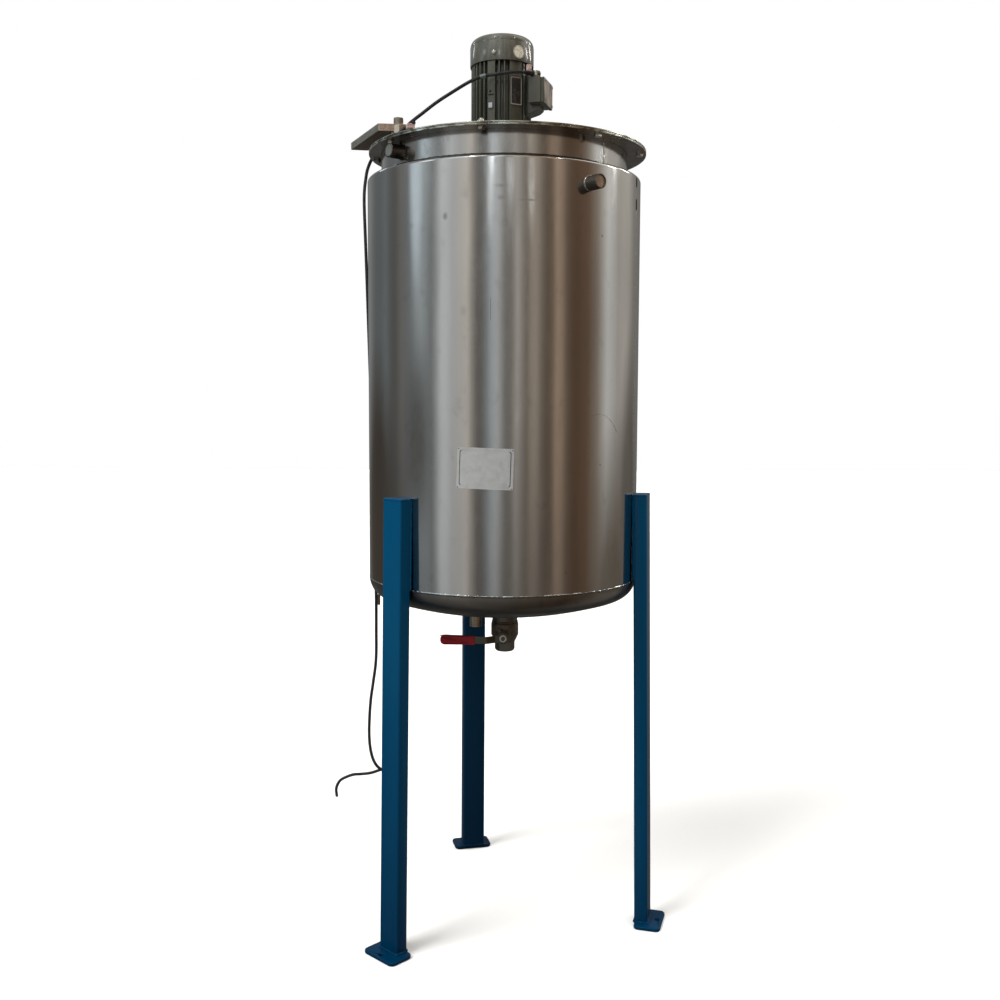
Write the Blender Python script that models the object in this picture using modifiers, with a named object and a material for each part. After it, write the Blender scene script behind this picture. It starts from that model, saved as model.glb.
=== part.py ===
"""Vertical mixing tank: a jacketed stainless vessel on three steel legs.

A flat lid is bolted on the vessel's flange and carries the mixer's motor. A ball valve with a
turning lever hangs under the dished bottom. All sizes are metres, +Z is up, and the floor is z = 0.
The origin is the middle of the tank's footprint, and the tank's own axis stands at AXIS_AT from it.
An azimuth is measured about the tank's axis from the front (-Y), positive towards +X.
"""
from math import acos, cos, degrees, pi, radians, sin, sqrt

import bmesh
import bpy
from mathutils import Matrix, Vector
from mathutils.geometry import interpolate_bezier

# Driving dimensions
GAP = 0.0003
AXIS_AT = (-0.0134, -0.0441, 0.0)
ROUND_STEPS = 72

JACKET_R = 0.375
JACKET_WALL = 0.003
JACKET_FOOT_Z = 0.965
JACKET_TOP_Z = 2.055
SHOULDER_R = 0.008

VESSEL_R = 0.337
VESSEL_WALL = 0.003
VESSEL_FOOT_Z = 1.0
FLANGE_R = 0.380
FLANGE_T = 0.0045
FLANGE_Z = 2.1232
RIM_SHIFT = 0.009
LID_T = 0.0045
LID_Z = FLANGE_Z + FLANGE_T + GAP
LID_TOP_Z = LID_Z + LID_T

OUTLET_AT = Vector((0.007, 0.0, 0.0))
OUTLET_R = 0.0355
OUTLET_BORE_R = 0.026
OUTLET_FOOT_Z = 0.833

LEG_AZIMUTHS = (("left", -43.8), ("right", 74.0), ("back", 193.2))
LEG_W = 0.070
LEG_D = 0.037
LEG_WALL = 0.003
LEG_CORNER_R = 0.004
LEG_TOP_Z = 1.205
LEG_LEAN = radians(0.9)
CAP_T = 0.003
FOOT_W = 0.117
FOOT_D = 0.074
FOOT_T = 0.010
FOOT_CORNER_R = 0.014
FOOT_R = 0.432
FOOT_HOLE_R = 0.007
FOOT_HOLE_INSET = 0.015

MOTOR_AT = Vector((-0.007, 0.0, 0.0))
MOTOR_FLANGE_R = 0.100
MOTOR_FLANGE_T = 0.012
FIN_TIP_R = 0.084
FIN_ROOT_R = 0.069
COWL_R = 0.087
COWL_WALL = 0.0027
COWL_FOOT_Z = 2.364
COWL_TOP_Z = 2.438
COWL_EDGE_R = 0.022
BOX_AZIMUTH = 73.2
BOX_FOOT_Z = 2.256
BOX_TOP_Z = 2.320
BOX_BACK_Z = 2.334
GLAND_MOUTH = Vector((0.0770, -0.0660, 2.333))
GLAND_HEADING = Vector((-0.8211, -0.5708, 0.0))
GLAND_R = 0.0095
GLAND_L = 0.008
CABLE_D = 0.009

VALVE_TURN = radians(-5.0)
STEM_Z = 0.7910
STEM_R = 0.006
BOSS_FACE_Y = -0.0445
LEVER_Y = -0.0515
LEVER_OUTER_Y = -0.0685
LEVER_T = 0.003
LEVER_H = 0.0205
LEVER_DROP = 0.004


def remove_everything():
    for obj in list(bpy.data.objects):
        bpy.data.objects.remove(obj, do_unlink=True)


remove_everything()
scene_root = bpy.context.scene.collection
tank = bpy.data.collections.new("mixing_tank")
helpers = bpy.data.collections.new("cutters")
scene_root.children.link(tank)
scene_root.children.link(helpers)
tank_axis = bpy.data.objects.new("tank_axis", None)
tank_axis.location = AXIS_AT
tank.objects.link(tank_axis)
valve_frame = bpy.data.objects.new("valve_frame", None)
valve_frame.location = OUTLET_AT
valve_frame.rotation_euler = (0.0, 0.0, VALVE_TURN)
valve_frame.parent = tank_axis
tank.objects.link(valve_frame)


def paint(obj, colour, roughness, metallic):
    material = bpy.data.materials.new(obj.name)
    material.use_nodes = True
    shader = material.node_tree.nodes["Principled BSDF"]
    shader.inputs["Base Color"].default_value = (*colour, 1.0)
    shader.inputs["Roughness"].default_value = roughness
    shader.inputs["Metallic"].default_value = metallic
    obj.data.materials.clear()
    obj.data.materials.append(material)


def stainless(obj):
    paint(obj, (0.42, 0.41, 0.40), 0.32, 1.0)


def dark_stainless(obj):
    paint(obj, (0.20, 0.17, 0.15), 0.38, 1.0)


def plated(obj):
    paint(obj, (0.55, 0.53, 0.50), 0.35, 1.0)


def blue_enamel(obj):
    paint(obj, (0.0, 0.075, 0.19), 0.25, 0.0)


def motor_paint(obj):
    paint(obj, (0.07, 0.07, 0.05), 0.35, 0.0)


def bare_steel(obj):
    paint(obj, (0.24, 0.19, 0.15), 0.5, 1.0)


def settle(obj, place_in=tank):
    """Move an object into one collection and hang it on the tank's axis."""
    for holder in list(obj.users_collection):
        holder.objects.unlink(obj)
    place_in.objects.link(obj)
    obj.parent = tank_axis
    return obj


def as_helper(obj):
    """Turn an object into a hidden cutter or joining shape."""
    settle(obj, helpers)
    obj.hide_render = True
    obj.display_type = "WIRE"
    return obj


def direction(azimuth):
    angle = radians(azimuth)
    return Vector((sin(angle), -cos(angle), 0.0))


def sideways(azimuth):
    angle = radians(azimuth)
    return Vector((cos(angle), sin(angle), 0.0))


def turned(name, profile, closed, steps=ROUND_STEPS, centre=(0.0, 0.0, 0.0)):
    """A body turned about Z: the profile of (radius, height) runs down its outer side."""
    points = [(radius, 0.0, height) for radius, height in profile]
    edges = [(i, i + 1) for i in range(len(points) - 1)]
    if closed:
        edges.append((len(points) - 1, 0))
    mesh = bpy.data.meshes.new(name)
    mesh.from_pydata(points, edges, [])
    obj = bpy.data.objects.new(name, mesh)
    tank.objects.link(obj)
    obj.location = centre
    turn = obj.modifiers.new("turn", "SCREW")
    turn.angle = 2 * pi
    turn.steps = steps
    turn.render_steps = steps
    turn.use_merge_vertices = True
    turn.merge_threshold = 0.0001
    return settle(obj)


def cylinder(name, radius, start, end, sides=32):
    """A straight round bar between two points."""
    start = Vector(start)
    end = Vector(end)
    run = end - start
    bpy.ops.mesh.primitive_cylinder_add(vertices=sides, radius=radius, depth=run.length)
    obj = bpy.context.object
    obj.name = name
    obj.location = (start + end) / 2
    obj.rotation_mode = "QUATERNION"
    obj.rotation_quaternion = run.to_track_quat("Z", "Y")
    return settle(obj)


def block(name, size, centre, turn_z=0.0, bevel=0.0, bevel_segments=2):
    """A rectangular block with its edges rounded."""
    bpy.ops.mesh.primitive_cube_add(size=1.0)
    obj = bpy.context.object
    obj.name = name
    obj.data.transform(Matrix.Diagonal((*size, 1.0)))
    obj.location = centre
    obj.rotation_euler = (0.0, 0.0, turn_z)
    if bevel > 0.0:
        edge = obj.modifiers.new("edge", "BEVEL")
        edge.width = bevel
        edge.segments = bevel_segments
    return settle(obj)


def prism(name, outlines, thickness, centre=(0.0, 0.0, 0.0), rotation=(0.0, 0.0, 0.0)):
    """A flat outline, with any inner outlines as holes, given a thickness about its middle."""
    curve = bpy.data.curves.new(name, "CURVE")
    curve.dimensions = "2D"
    curve.fill_mode = "BOTH"
    curve.extrude = thickness / 2
    for outline in outlines:
        spline = curve.splines.new("POLY")
        spline.points.add(len(outline) - 1)
        for point, (x, y) in zip(spline.points, outline):
            point.co = (x, y, 0.0, 1.0)
        spline.use_cyclic_u = True
    obj = bpy.data.objects.new(name, curve)
    tank.objects.link(obj)
    obj.location = centre
    obj.rotation_euler = rotation
    return settle(obj)


def as_mesh(obj):
    """Make a curve object a mesh with welded caps, so that it can be cut or joined."""
    bpy.context.view_layer.update()
    evaluated = obj.evaluated_get(bpy.context.evaluated_depsgraph_get())
    mesh = bpy.data.meshes.new_from_object(evaluated)
    work = bmesh.new()
    work.from_mesh(mesh)
    bmesh.ops.remove_doubles(work, verts=work.verts, dist=0.00001)
    work.to_mesh(mesh)
    work.free()
    name = obj.name
    solid = bpy.data.objects.new(name + "_solid", mesh)
    solid.location = obj.location
    solid.rotation_euler = obj.rotation_euler
    bpy.data.objects.remove(obj, do_unlink=True)
    solid.name = name
    tank.objects.link(solid)
    return settle(solid)


def combine(obj, other, operation):
    as_helper(other)
    step = obj.modifiers.new(operation.lower(), "BOOLEAN")
    step.operation = operation
    step.solver = "EXACT"
    step.object = other


def rounded_outline(width, depth, radius, corner_steps=3):
    """A rectangle's outline with round corners, width along X and depth along Y."""
    corners = ((1, 1, 0), (-1, 1, 90), (-1, -1, 180), (1, -1, 270))
    points = []
    for side_x, side_y, start in corners:
        for step in range(corner_steps + 1):
            angle = radians(start + 90 * step / corner_steps)
            points.append((side_x * (width / 2 - radius) + radius * cos(angle),
                           side_y * (depth / 2 - radius) + radius * sin(angle)))
    return points


def circle_outline(radius, centre, sides):
    points = []
    for step in range(sides):
        angle = 2 * pi * step / sides
        points.append((centre[0] + radius * cos(angle), centre[1] + radius * sin(angle)))
    return points


def arc(centre, radius, start, end, steps):
    """Points on an arc in a profile plane, with angles in degrees from the +radius direction."""
    points = []
    for step in range(steps + 1):
        angle = radians(start + (end - start) * step / steps)
        points.append((centre[0] + radius * cos(angle), centre[1] + radius * sin(angle)))
    return points


# Vessel and jacket

def crown_centre(radius, crown_r, knuckle_r, rim_z):
    """Height of the point about which a dished end's wide middle is curved."""
    return rim_z + sqrt((crown_r - knuckle_r) ** 2 - (radius - knuckle_r) ** 2)


def dished_end(name, radius, wall, crown_r, knuckle_r, rim_z):
    """A dished end: the outer skin from rim to middle, the inner skin back up, and the outlet's hole."""
    knuckle_x = radius - knuckle_r
    crown_z = crown_centre(radius, crown_r, knuckle_r, rim_z)
    meet = degrees(acos(knuckle_x / (crown_r - knuckle_r)))
    knuckle_steps = 4
    crown_steps = 5

    def skin(crown, knuckle):
        points = arc((knuckle_x, rim_z), knuckle, 0.0, -meet, knuckle_steps)
        points += arc((0.0, crown_z), crown, -meet, -90.0, crown_steps)[1:-1]
        return points + [(0.0, crown_z - crown)]

    outer = skin(crown_r, knuckle_r)
    inner = skin(crown_r - wall, knuckle_r - wall)
    end = turned(name, outer + inner[::-1], True)
    hole = cylinder(name + "_hole", OUTLET_R + GAP, OUTLET_AT + Vector((0, 0, crown_z - crown_r - 0.05)),
                    OUTLET_AT + Vector((0, 0, crown_z - crown_r + 0.05)))
    combine(end, hole, "DIFFERENCE")
    return end


def ring_profile(outer_r, inner_r, top_z, foot_z):
    return [(outer_r, top_z), (outer_r, foot_z), (inner_r, foot_z), (inner_r, top_z)]


CROWN_R = 1.100
KNUCKLE_R = 0.055
VESSEL_CROWN_R = 0.860
VESSEL_KNUCKLE_R = 0.030


def make_vessel():
    shell_top = JACKET_TOP_Z - SHOULDER_R - GAP
    shell = turned("jacket_shell", ring_profile(JACKET_R, JACKET_R - JACKET_WALL, shell_top,
                                                JACKET_FOOT_Z), True)
    stainless(shell)

    bend = (JACKET_R - SHOULDER_R, JACKET_TOP_Z - SHOULDER_R)
    seat_r = VESSEL_R + GAP
    under_z = JACKET_TOP_Z - JACKET_WALL
    shoulder = [(seat_r, JACKET_TOP_Z)] + arc(bend, SHOULDER_R, 90.0, 0.0, 4)
    shoulder += arc(bend, SHOULDER_R - JACKET_WALL, 0.0, 90.0, 3) + [(seat_r, under_z)]
    stainless(turned("jacket_shoulder", shoulder, True))

    dark_stainless(dished_end("jacket_bottom", JACKET_R, JACKET_WALL, CROWN_R, KNUCKLE_R,
                              JACKET_FOOT_Z - GAP))

    wall_top = FLANGE_Z + FLANGE_T
    stainless(turned("vessel_wall", ring_profile(VESSEL_R, VESSEL_R - VESSEL_WALL, wall_top,
                                                 VESSEL_FOOT_Z), True))
    stainless(dished_end("vessel_bottom", VESSEL_R, VESSEL_WALL, VESSEL_CROWN_R, VESSEL_KNUCKLE_R,
                         VESSEL_FOOT_Z - GAP))

    rim = circle_outline(FLANGE_R, (RIM_SHIFT, 0.0), ROUND_STEPS)
    collar_hole = circle_outline(VESSEL_R + 2 * GAP, (0.0, 0.0), ROUND_STEPS)
    stainless(prism("vessel_flange", [rim, collar_hole], FLANGE_T,
                    (0, 0, FLANGE_Z + FLANGE_T / 2)))
    stainless(cylinder("lid_plate", FLANGE_R, (RIM_SHIFT, 0, LID_Z), (RIM_SHIFT, 0, LID_TOP_Z),
                       ROUND_STEPS))


NOZZLE_AZIMUTH = -51.0
NOZZLE_R = 0.018
NOZZLE_END = 0.380
NOZZLE_Z = 2.0917
SOCKET_AZIMUTH = 35.0
SOCKET_R = 0.0185
SOCKET_END = 0.415
SOCKET_Z = 1.9970
NIPPLE_R = 0.017
NIPPLE_WALL = 0.004
NIPPLE_AT = (-0.075, -0.030)
NIPPLE_FOOT_Z = 0.821
LABEL_AZIMUTH = -7.0
LABEL_W = 0.143
LABEL_H = 0.103
LABEL_T = 0.0008
LABEL_Z = 1.2877
LABEL_ROLL = radians(1.9)


def make_stubs():
    out = direction(NOZZLE_AZIMUTH)
    lift = Vector((0, 0, NOZZLE_Z))
    stainless(cylinder("collar_nozzle", NOZZLE_R, out * (VESSEL_R + GAP) + lift,
                       out * NOZZLE_END + lift, 24))
    out = direction(SOCKET_AZIMUTH)
    lift = Vector((0, 0, SOCKET_Z))
    stainless(cylinder("jacket_socket", SOCKET_R, out * (JACKET_R + GAP) + lift,
                       out * SOCKET_END + lift, 24))
    crown_z = crown_centre(JACKET_R, CROWN_R, KNUCKLE_R, JACKET_FOOT_Z - GAP)
    nearest = Vector((*NIPPLE_AT, 0.0)).length - NIPPLE_R
    nipple_top = crown_z - sqrt(CROWN_R ** 2 - nearest ** 2) - GAP
    nipple = ring_profile(NIPPLE_R, NIPPLE_R - NIPPLE_WALL, nipple_top, NIPPLE_FOOT_Z)
    dark_stainless(turned("drain_nipple", nipple, True, 24, (*NIPPLE_AT, 0.0)))


def make_label():
    """The plate bent round the jacket, fixed a little askew: its right end hangs lower."""
    inner_r = JACKET_R + GAP
    steps = 10
    points = []
    for radius in (inner_r + LABEL_T, inner_r):
        for up in (-LABEL_H / 2, LABEL_H / 2):
            for step in range(steps + 1):
                across = LABEL_W * (step / steps - 0.5)
                right = across * cos(LABEL_ROLL) + up * sin(LABEL_ROLL)
                rise = up * cos(LABEL_ROLL) - across * sin(LABEL_ROLL)
                out = direction(LABEL_AZIMUTH + degrees(right / JACKET_R))
                points.append((out.x * radius, out.y * radius, LABEL_Z + rise))
    outer_low, outer_high, inner_low, inner_high = (row * (steps + 1) for row in range(4))
    faces = [(outer_low, outer_high, inner_high, inner_low),
             (outer_low + steps, inner_low + steps, inner_high + steps, outer_high + steps)]
    for one, other in ((outer_low, outer_high), (inner_high, inner_low), (inner_low, outer_low),
                       (outer_high, inner_high)):
        faces += [(one + i, one + i + 1, other + i + 1, other + i) for i in range(steps)]
    mesh = bpy.data.meshes.new("label_plate")
    mesh.from_pydata(points, [], faces)
    work = bmesh.new()
    work.from_mesh(mesh)
    bmesh.ops.recalc_face_normals(work, faces=work.faces)
    work.to_mesh(mesh)
    work.free()
    label = bpy.data.objects.new("label_plate", mesh)
    tank.objects.link(label)
    settle(label)
    paint(label, (0.75, 0.74, 0.72), 0.4, 0.0)


# Legs and feet

def make_legs():
    foot_top = FOOT_T
    leg_length = (LEG_TOP_Z - CAP_T - GAP - foot_top - 2 * GAP) / cos(LEG_LEAN)
    top_r = JACKET_R + GAP + LEG_D / 2
    for side, azimuth in LEG_AZIMUTHS:
        out = direction(azimuth)
        turn_z = radians(azimuth - 90.0)
        spin = (0.0, -LEG_LEAN, turn_z)
        up = Vector((-sin(LEG_LEAN) * out.x, -sin(LEG_LEAN) * out.y, cos(LEG_LEAN)))
        top = out * top_r + Vector((0, 0, LEG_TOP_Z))
        middle = top - up * (CAP_T + GAP + leg_length / 2)
        outer = rounded_outline(LEG_D, LEG_W, LEG_CORNER_R)
        inner = rounded_outline(LEG_D - 2 * LEG_WALL, LEG_W - 2 * LEG_WALL,
                                LEG_CORNER_R - LEG_WALL)
        leg = prism("leg_" + side, [outer, inner], leg_length, middle, spin)
        blue_enamel(leg)
        cap = prism("leg_cap_" + side, [outer], CAP_T, top - up * CAP_T / 2, spin)
        blue_enamel(cap)

        foot_outline = rounded_outline(FOOT_D, FOOT_W, FOOT_CORNER_R)
        hole = circle_outline(FOOT_HOLE_R, (FOOT_D / 2 - FOOT_HOLE_INSET, 0.0), 16)
        foot = prism("foot_plate_" + side, [foot_outline, hole], FOOT_T,
                     out * FOOT_R + Vector((0, 0, FOOT_T / 2)), (0.0, 0.0, turn_z))
        blue_enamel(foot)


# Outlet and ball valve

BODY_FOOT_Z = 0.772
HEX_R = 0.0284
HEX_FOOT_Z = 0.745
HEX_EDGE_R = 0.009
HEX_TURN = radians(27.0)
THREAD_R = 0.0205
THREAD_DEPTH = 0.018


def along_stem(y, x=0.0):
    """A point at the stem's height in the valve's own frame, where the stem points to -Y."""
    return Vector((x, y, STEM_Z))


def on_valve(*pieces):
    for piece in pieces:
        piece.parent = valve_frame


def make_outlet():
    pipe_top = crown_centre(VESSEL_R, VESSEL_CROWN_R, VESSEL_KNUCKLE_R,
                            VESSEL_FOOT_Z - GAP) - VESSEL_CROWN_R + VESSEL_WALL
    pipe = ring_profile(OUTLET_R, OUTLET_BORE_R, pipe_top, OUTLET_FOOT_Z)
    stainless(turned("outlet_pipe", pipe, True, 32, OUTLET_AT))

    top = OUTLET_FOOT_Z - GAP
    profile = [(0.0, top), (0.0375, top), (0.0390, 0.822), (0.0390, 0.792), (0.0290, BODY_FOOT_Z),
               (0.0, BODY_FOOT_Z)]
    body = turned("valve_body", profile, False, 32)
    boss = cylinder("valve_boss", 0.020, along_stem(-0.022), along_stem(BOSS_FACE_Y), 24)
    end = cylinder("valve_end", HEX_R, (0, 0, HEX_FOOT_Z), (0, 0, BODY_FOOT_Z + 0.002), 6)
    end.rotation_mode = "XYZ"
    end.rotation_euler = (0.0, 0.0, HEX_TURN)
    edge = (HEX_R - HEX_EDGE_R, HEX_FOOT_Z + HEX_EDGE_R)
    cup = turned("end_cup", [(0.0, 0.8), (HEX_R, 0.8)] + arc(edge, HEX_EDGE_R, 0.0, -90.0, 4)
                 + [(0.0, HEX_FOOT_Z)], False, 32)
    thread = cylinder("end_thread", THREAD_R, (0, 0, HEX_FOOT_Z - 0.01),
                      (0, 0, HEX_FOOT_Z + THREAD_DEPTH), 24)
    combine(end, cup, "INTERSECT")
    combine(body, end, "UNION")
    combine(body, boss, "UNION")
    combine(body, thread, "DIFFERENCE")
    on_valve(body, boss, end, cup, thread)
    dark_stainless(body)


def make_lever():
    nut_back = LEVER_Y - LEVER_T / 2 - GAP
    nut_front = nut_back - 0.008
    nut = cylinder("lever_nut", 0.0110, along_stem(nut_back), along_stem(nut_front), 6)
    stem = cylinder("stem_shaft", STEM_R, along_stem(BOSS_FACE_Y - GAP),
                    along_stem(nut_front - 0.003), 16)
    combine(nut, stem, "UNION")
    plated(nut)

    half = LEVER_T / 2
    arm_z = STEM_Z - LEVER_DROP
    path = [(0.0, LEVER_Y), (-0.023, LEVER_Y), (-0.045, LEVER_OUTER_Y), (-0.0985, LEVER_OUTER_Y)]
    strip = [(x, y + half) for x, y in path] + [(x, y - half) for x, y in path[::-1]]
    arm = as_mesh(prism("lever_arm", [strip], LEVER_H, (0, 0, arm_z)))
    hub = cylinder("lever_hub", 0.0155, along_stem(LEVER_Y + half), along_stem(LEVER_Y - half), 24)
    hole = cylinder("stem_hole", STEM_R + GAP, along_stem(LEVER_Y + 0.01),
                    along_stem(LEVER_Y - 0.01), 16)
    combine(arm, hub, "UNION")
    combine(arm, hole, "DIFFERENCE")
    plated(arm)

    inner_end = -0.0785
    outer_end = -0.176
    inner_half = 0.0127
    outer_half = 0.0138
    round_r = 0.012
    outline = [(inner_end, inner_half), (inner_end, -inner_half)]
    outline += arc((outer_end + round_r, -outer_half + round_r), round_r, -90.0, -180.0, 4)
    outline += arc((outer_end + round_r, outer_half - round_r), round_r, 180.0, 90.0, 4)
    sleeve = as_mesh(prism("lever_sleeve", [outline[::-1]], 0.011, (0, LEVER_OUTER_Y, arm_z),
                           (radians(90.0), 0.0, 0.0)))
    eased = sleeve.modifiers.new("eased", "BEVEL")
    eased.width = 0.0025
    eased.segments = 2
    eased.angle_limit = radians(50.0)
    pocket = block("sleeve_pocket", (0.0406, LEVER_T + 2 * GAP, LEVER_H + 2 * GAP),
                   (inner_end, LEVER_OUTER_Y, arm_z))
    combine(sleeve, pocket, "DIFFERENCE")
    on_valve(nut, stem, arm, hub, hole, sleeve, pocket)
    paint(sleeve, (0.20, 0.005, 0.012), 0.35, 0.0)


# Motor and its terminal box

def motor_outline():
    """The cast frame seen from above: fins all round, with flat pads cast between them."""
    pads = ((-20.0, 7.5, FIN_TIP_R), (27.5, 12.5, FIN_TIP_R), (BOX_AZIMUTH, 25.0, FIN_ROOT_R),
            (160.0, 7.5, FIN_TIP_R), (207.5, 12.5, FIN_TIP_R), (250.0, 7.5, FIN_TIP_R))
    fin_pitch = 10.0
    fin_half = 1.3
    points = []

    def add(azimuth, radius):
        out = direction(azimuth)
        points.append((out.x * radius, out.y * radius))

    azimuth = -45.0
    while azimuth < 315.0 - 0.01:
        pad = next((p for p in pads if abs(azimuth - p[0]) < p[1] + 3.0), None)
        if pad is None:
            add(azimuth - fin_half - 0.6, FIN_ROOT_R)
            add(azimuth - fin_half, FIN_TIP_R)
            add(azimuth + fin_half, FIN_TIP_R)
            add(azimuth + fin_half + 0.6, FIN_ROOT_R)
            azimuth += fin_pitch
        else:
            middle, half, radius = pad
            if radius > FIN_ROOT_R:
                add(middle - half - 0.6, FIN_ROOT_R)
            add(middle - half, radius)
            add(middle + half, radius)
            if radius > FIN_ROOT_R:
                add(middle + half + 0.6, FIN_ROOT_R)
            while azimuth < middle + half + 3.0:
                azimuth += fin_pitch
    return points


def make_motor():
    flange_z = LID_TOP_Z + GAP
    motor_paint(cylinder("motor_flange", MOTOR_FLANGE_R, MOTOR_AT + Vector((0, 0, flange_z)),
                         MOTOR_AT + Vector((0, 0, flange_z + MOTOR_FLANGE_T)), 48))
    frame_z = flange_z + MOTOR_FLANGE_T + GAP
    frame_top = COWL_FOOT_Z + 0.010
    motor_paint(prism("motor_frame", [motor_outline()], frame_top - frame_z,
                      MOTOR_AT + Vector((0, 0, (frame_top + frame_z) / 2))))

    edge = (COWL_R - COWL_EDGE_R, COWL_TOP_Z - COWL_EDGE_R)
    outer = [(0.0, COWL_TOP_Z)] + arc(edge, COWL_EDGE_R, 90.0, 0.0, 5) + [(COWL_R, COWL_FOOT_Z)]
    inner_r = FIN_TIP_R + GAP
    inner = [(inner_r, COWL_FOOT_Z)] + arc(edge, inner_r - edge[0], 0.0, 90.0, 4)
    inner.append((0.0, edge[1] + inner_r - edge[0]))
    motor_paint(turned("fan_cowl", outer + inner, False, 48, MOTOR_AT))

    plate_azimuth = 27.5
    out = direction(plate_azimuth)
    flat = FIN_TIP_R * cos(radians(12.5))
    plate_t = 0.0012
    plate = block("motor_nameplate", (plate_t, 0.034, 0.073),
                  MOTOR_AT + out * (flat + GAP + plate_t / 2) + Vector((0, 0, 2.285)),
                  radians(plate_azimuth - 90.0))
    paint(plate, (0.03, 0.03, 0.03), 0.4, 0.5)


def make_terminal_box():
    out = direction(BOX_AZIMUTH)
    turn_z = radians(BOX_AZIMUTH - 90.0)
    middle_z = (BOX_FOOT_Z + BOX_TOP_Z) / 2
    seat = FIN_ROOT_R * cos(radians(25.0)) + GAP
    box_start = 0.0805
    box_end = 0.115
    side = [(box_start, BOX_FOOT_Z), (box_end, BOX_FOOT_Z), (box_end, BOX_TOP_Z), (box_start, BOX_BACK_Z)]
    box = as_mesh(prism("terminal_box", [side], 0.090, (0, 0, 0), (radians(90.0), 0.0, turn_z)))
    neck_end = 0.1107
    neck_w = 0.051
    neck_foot_z = 2.235
    neck_top_z = 2.336
    neck = block("box_neck", (neck_end - seat, neck_w, neck_top_z - neck_foot_z),
                 MOTOR_AT + out * ((neck_end + seat) / 2)
                 + Vector((0, 0, (neck_top_z + neck_foot_z) / 2)), turn_z)
    clearance = turned("frame_clearance", [(0.0, 2.5), (FIN_TIP_R + 0.001, 2.5),
                                           (FIN_TIP_R + 0.001, 2.1), (0.0, 2.1)], False, 48, MOTOR_AT)
    seat_block = block("seat_block", (0.060, neck_w + 0.002, 0.5),
                       MOTOR_AT + out * (seat + 0.030) + Vector((0, 0, 2.2925)), turn_z)
    combine(clearance, seat_block, "DIFFERENCE")
    combine(neck, clearance, "DIFFERENCE")
    combine(box, neck, "UNION")
    boss_end = GLAND_MOUTH - GLAND_HEADING * (GLAND_L + GAP)
    gland_way = cylinder("gland_way", GLAND_R + 0.0008, boss_end, boss_end + GLAND_HEADING * 0.06, 24)
    combine(box, gland_way, "DIFFERENCE")
    boss = cylinder("gland_boss", GLAND_R + 0.001, boss_end - GLAND_HEADING * 0.010, boss_end, 16)
    combine(box, boss, "UNION")
    motor_paint(box)

    lid_t = 0.010
    lid = block("terminal_box_lid", (lid_t, 0.092, BOX_TOP_Z - BOX_FOOT_Z + 0.004),
                out * (box_end + GAP + lid_t / 2) + Vector((0, 0, middle_z)), turn_z, 0.003, 2)
    motor_paint(lid)

    gland_seat = GLAND_MOUTH - GLAND_HEADING * GLAND_L
    gland = cylinder("cable_gland", GLAND_R, gland_seat, GLAND_MOUTH, 12)
    paint(gland, (0.30, 0.27, 0.24), 0.45, 0.0)


# Bracket on the lid

BRACKET_RISE = 0.037
BRACKET_T = 0.020
BRACKET_OUTLINE = ((-0.335, -0.114), (-0.262, -0.107), (-0.262, -0.060), (-0.3065, -0.060),
                   (-0.389, 0.121), (-0.438, 0.112))
BRACKET_BOLT_AT = (-0.283, -0.092)


def make_bracket():
    foot_z = LID_TOP_Z + BRACKET_RISE
    bar = prism("lid_bracket", [BRACKET_OUTLINE], BRACKET_T, (0, 0, foot_z + BRACKET_T / 2))
    bare_steel(bar)
    packer = block("bracket_packer", (0.036, 0.040, BRACKET_RISE - 2 * GAP),
                   (-0.284, -0.085, LID_TOP_Z + BRACKET_RISE / 2))
    bare_steel(packer)
    bolt_z = foot_z + BRACKET_T + GAP
    bolt = cylinder("bracket_bolt", 0.013, (*BRACKET_BOLT_AT, bolt_z),
                    (*BRACKET_BOLT_AT, bolt_z + 0.019), 20)
    bare_steel(bolt)


# Motor lead, from its gland over the lid and down behind the jacket

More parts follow.
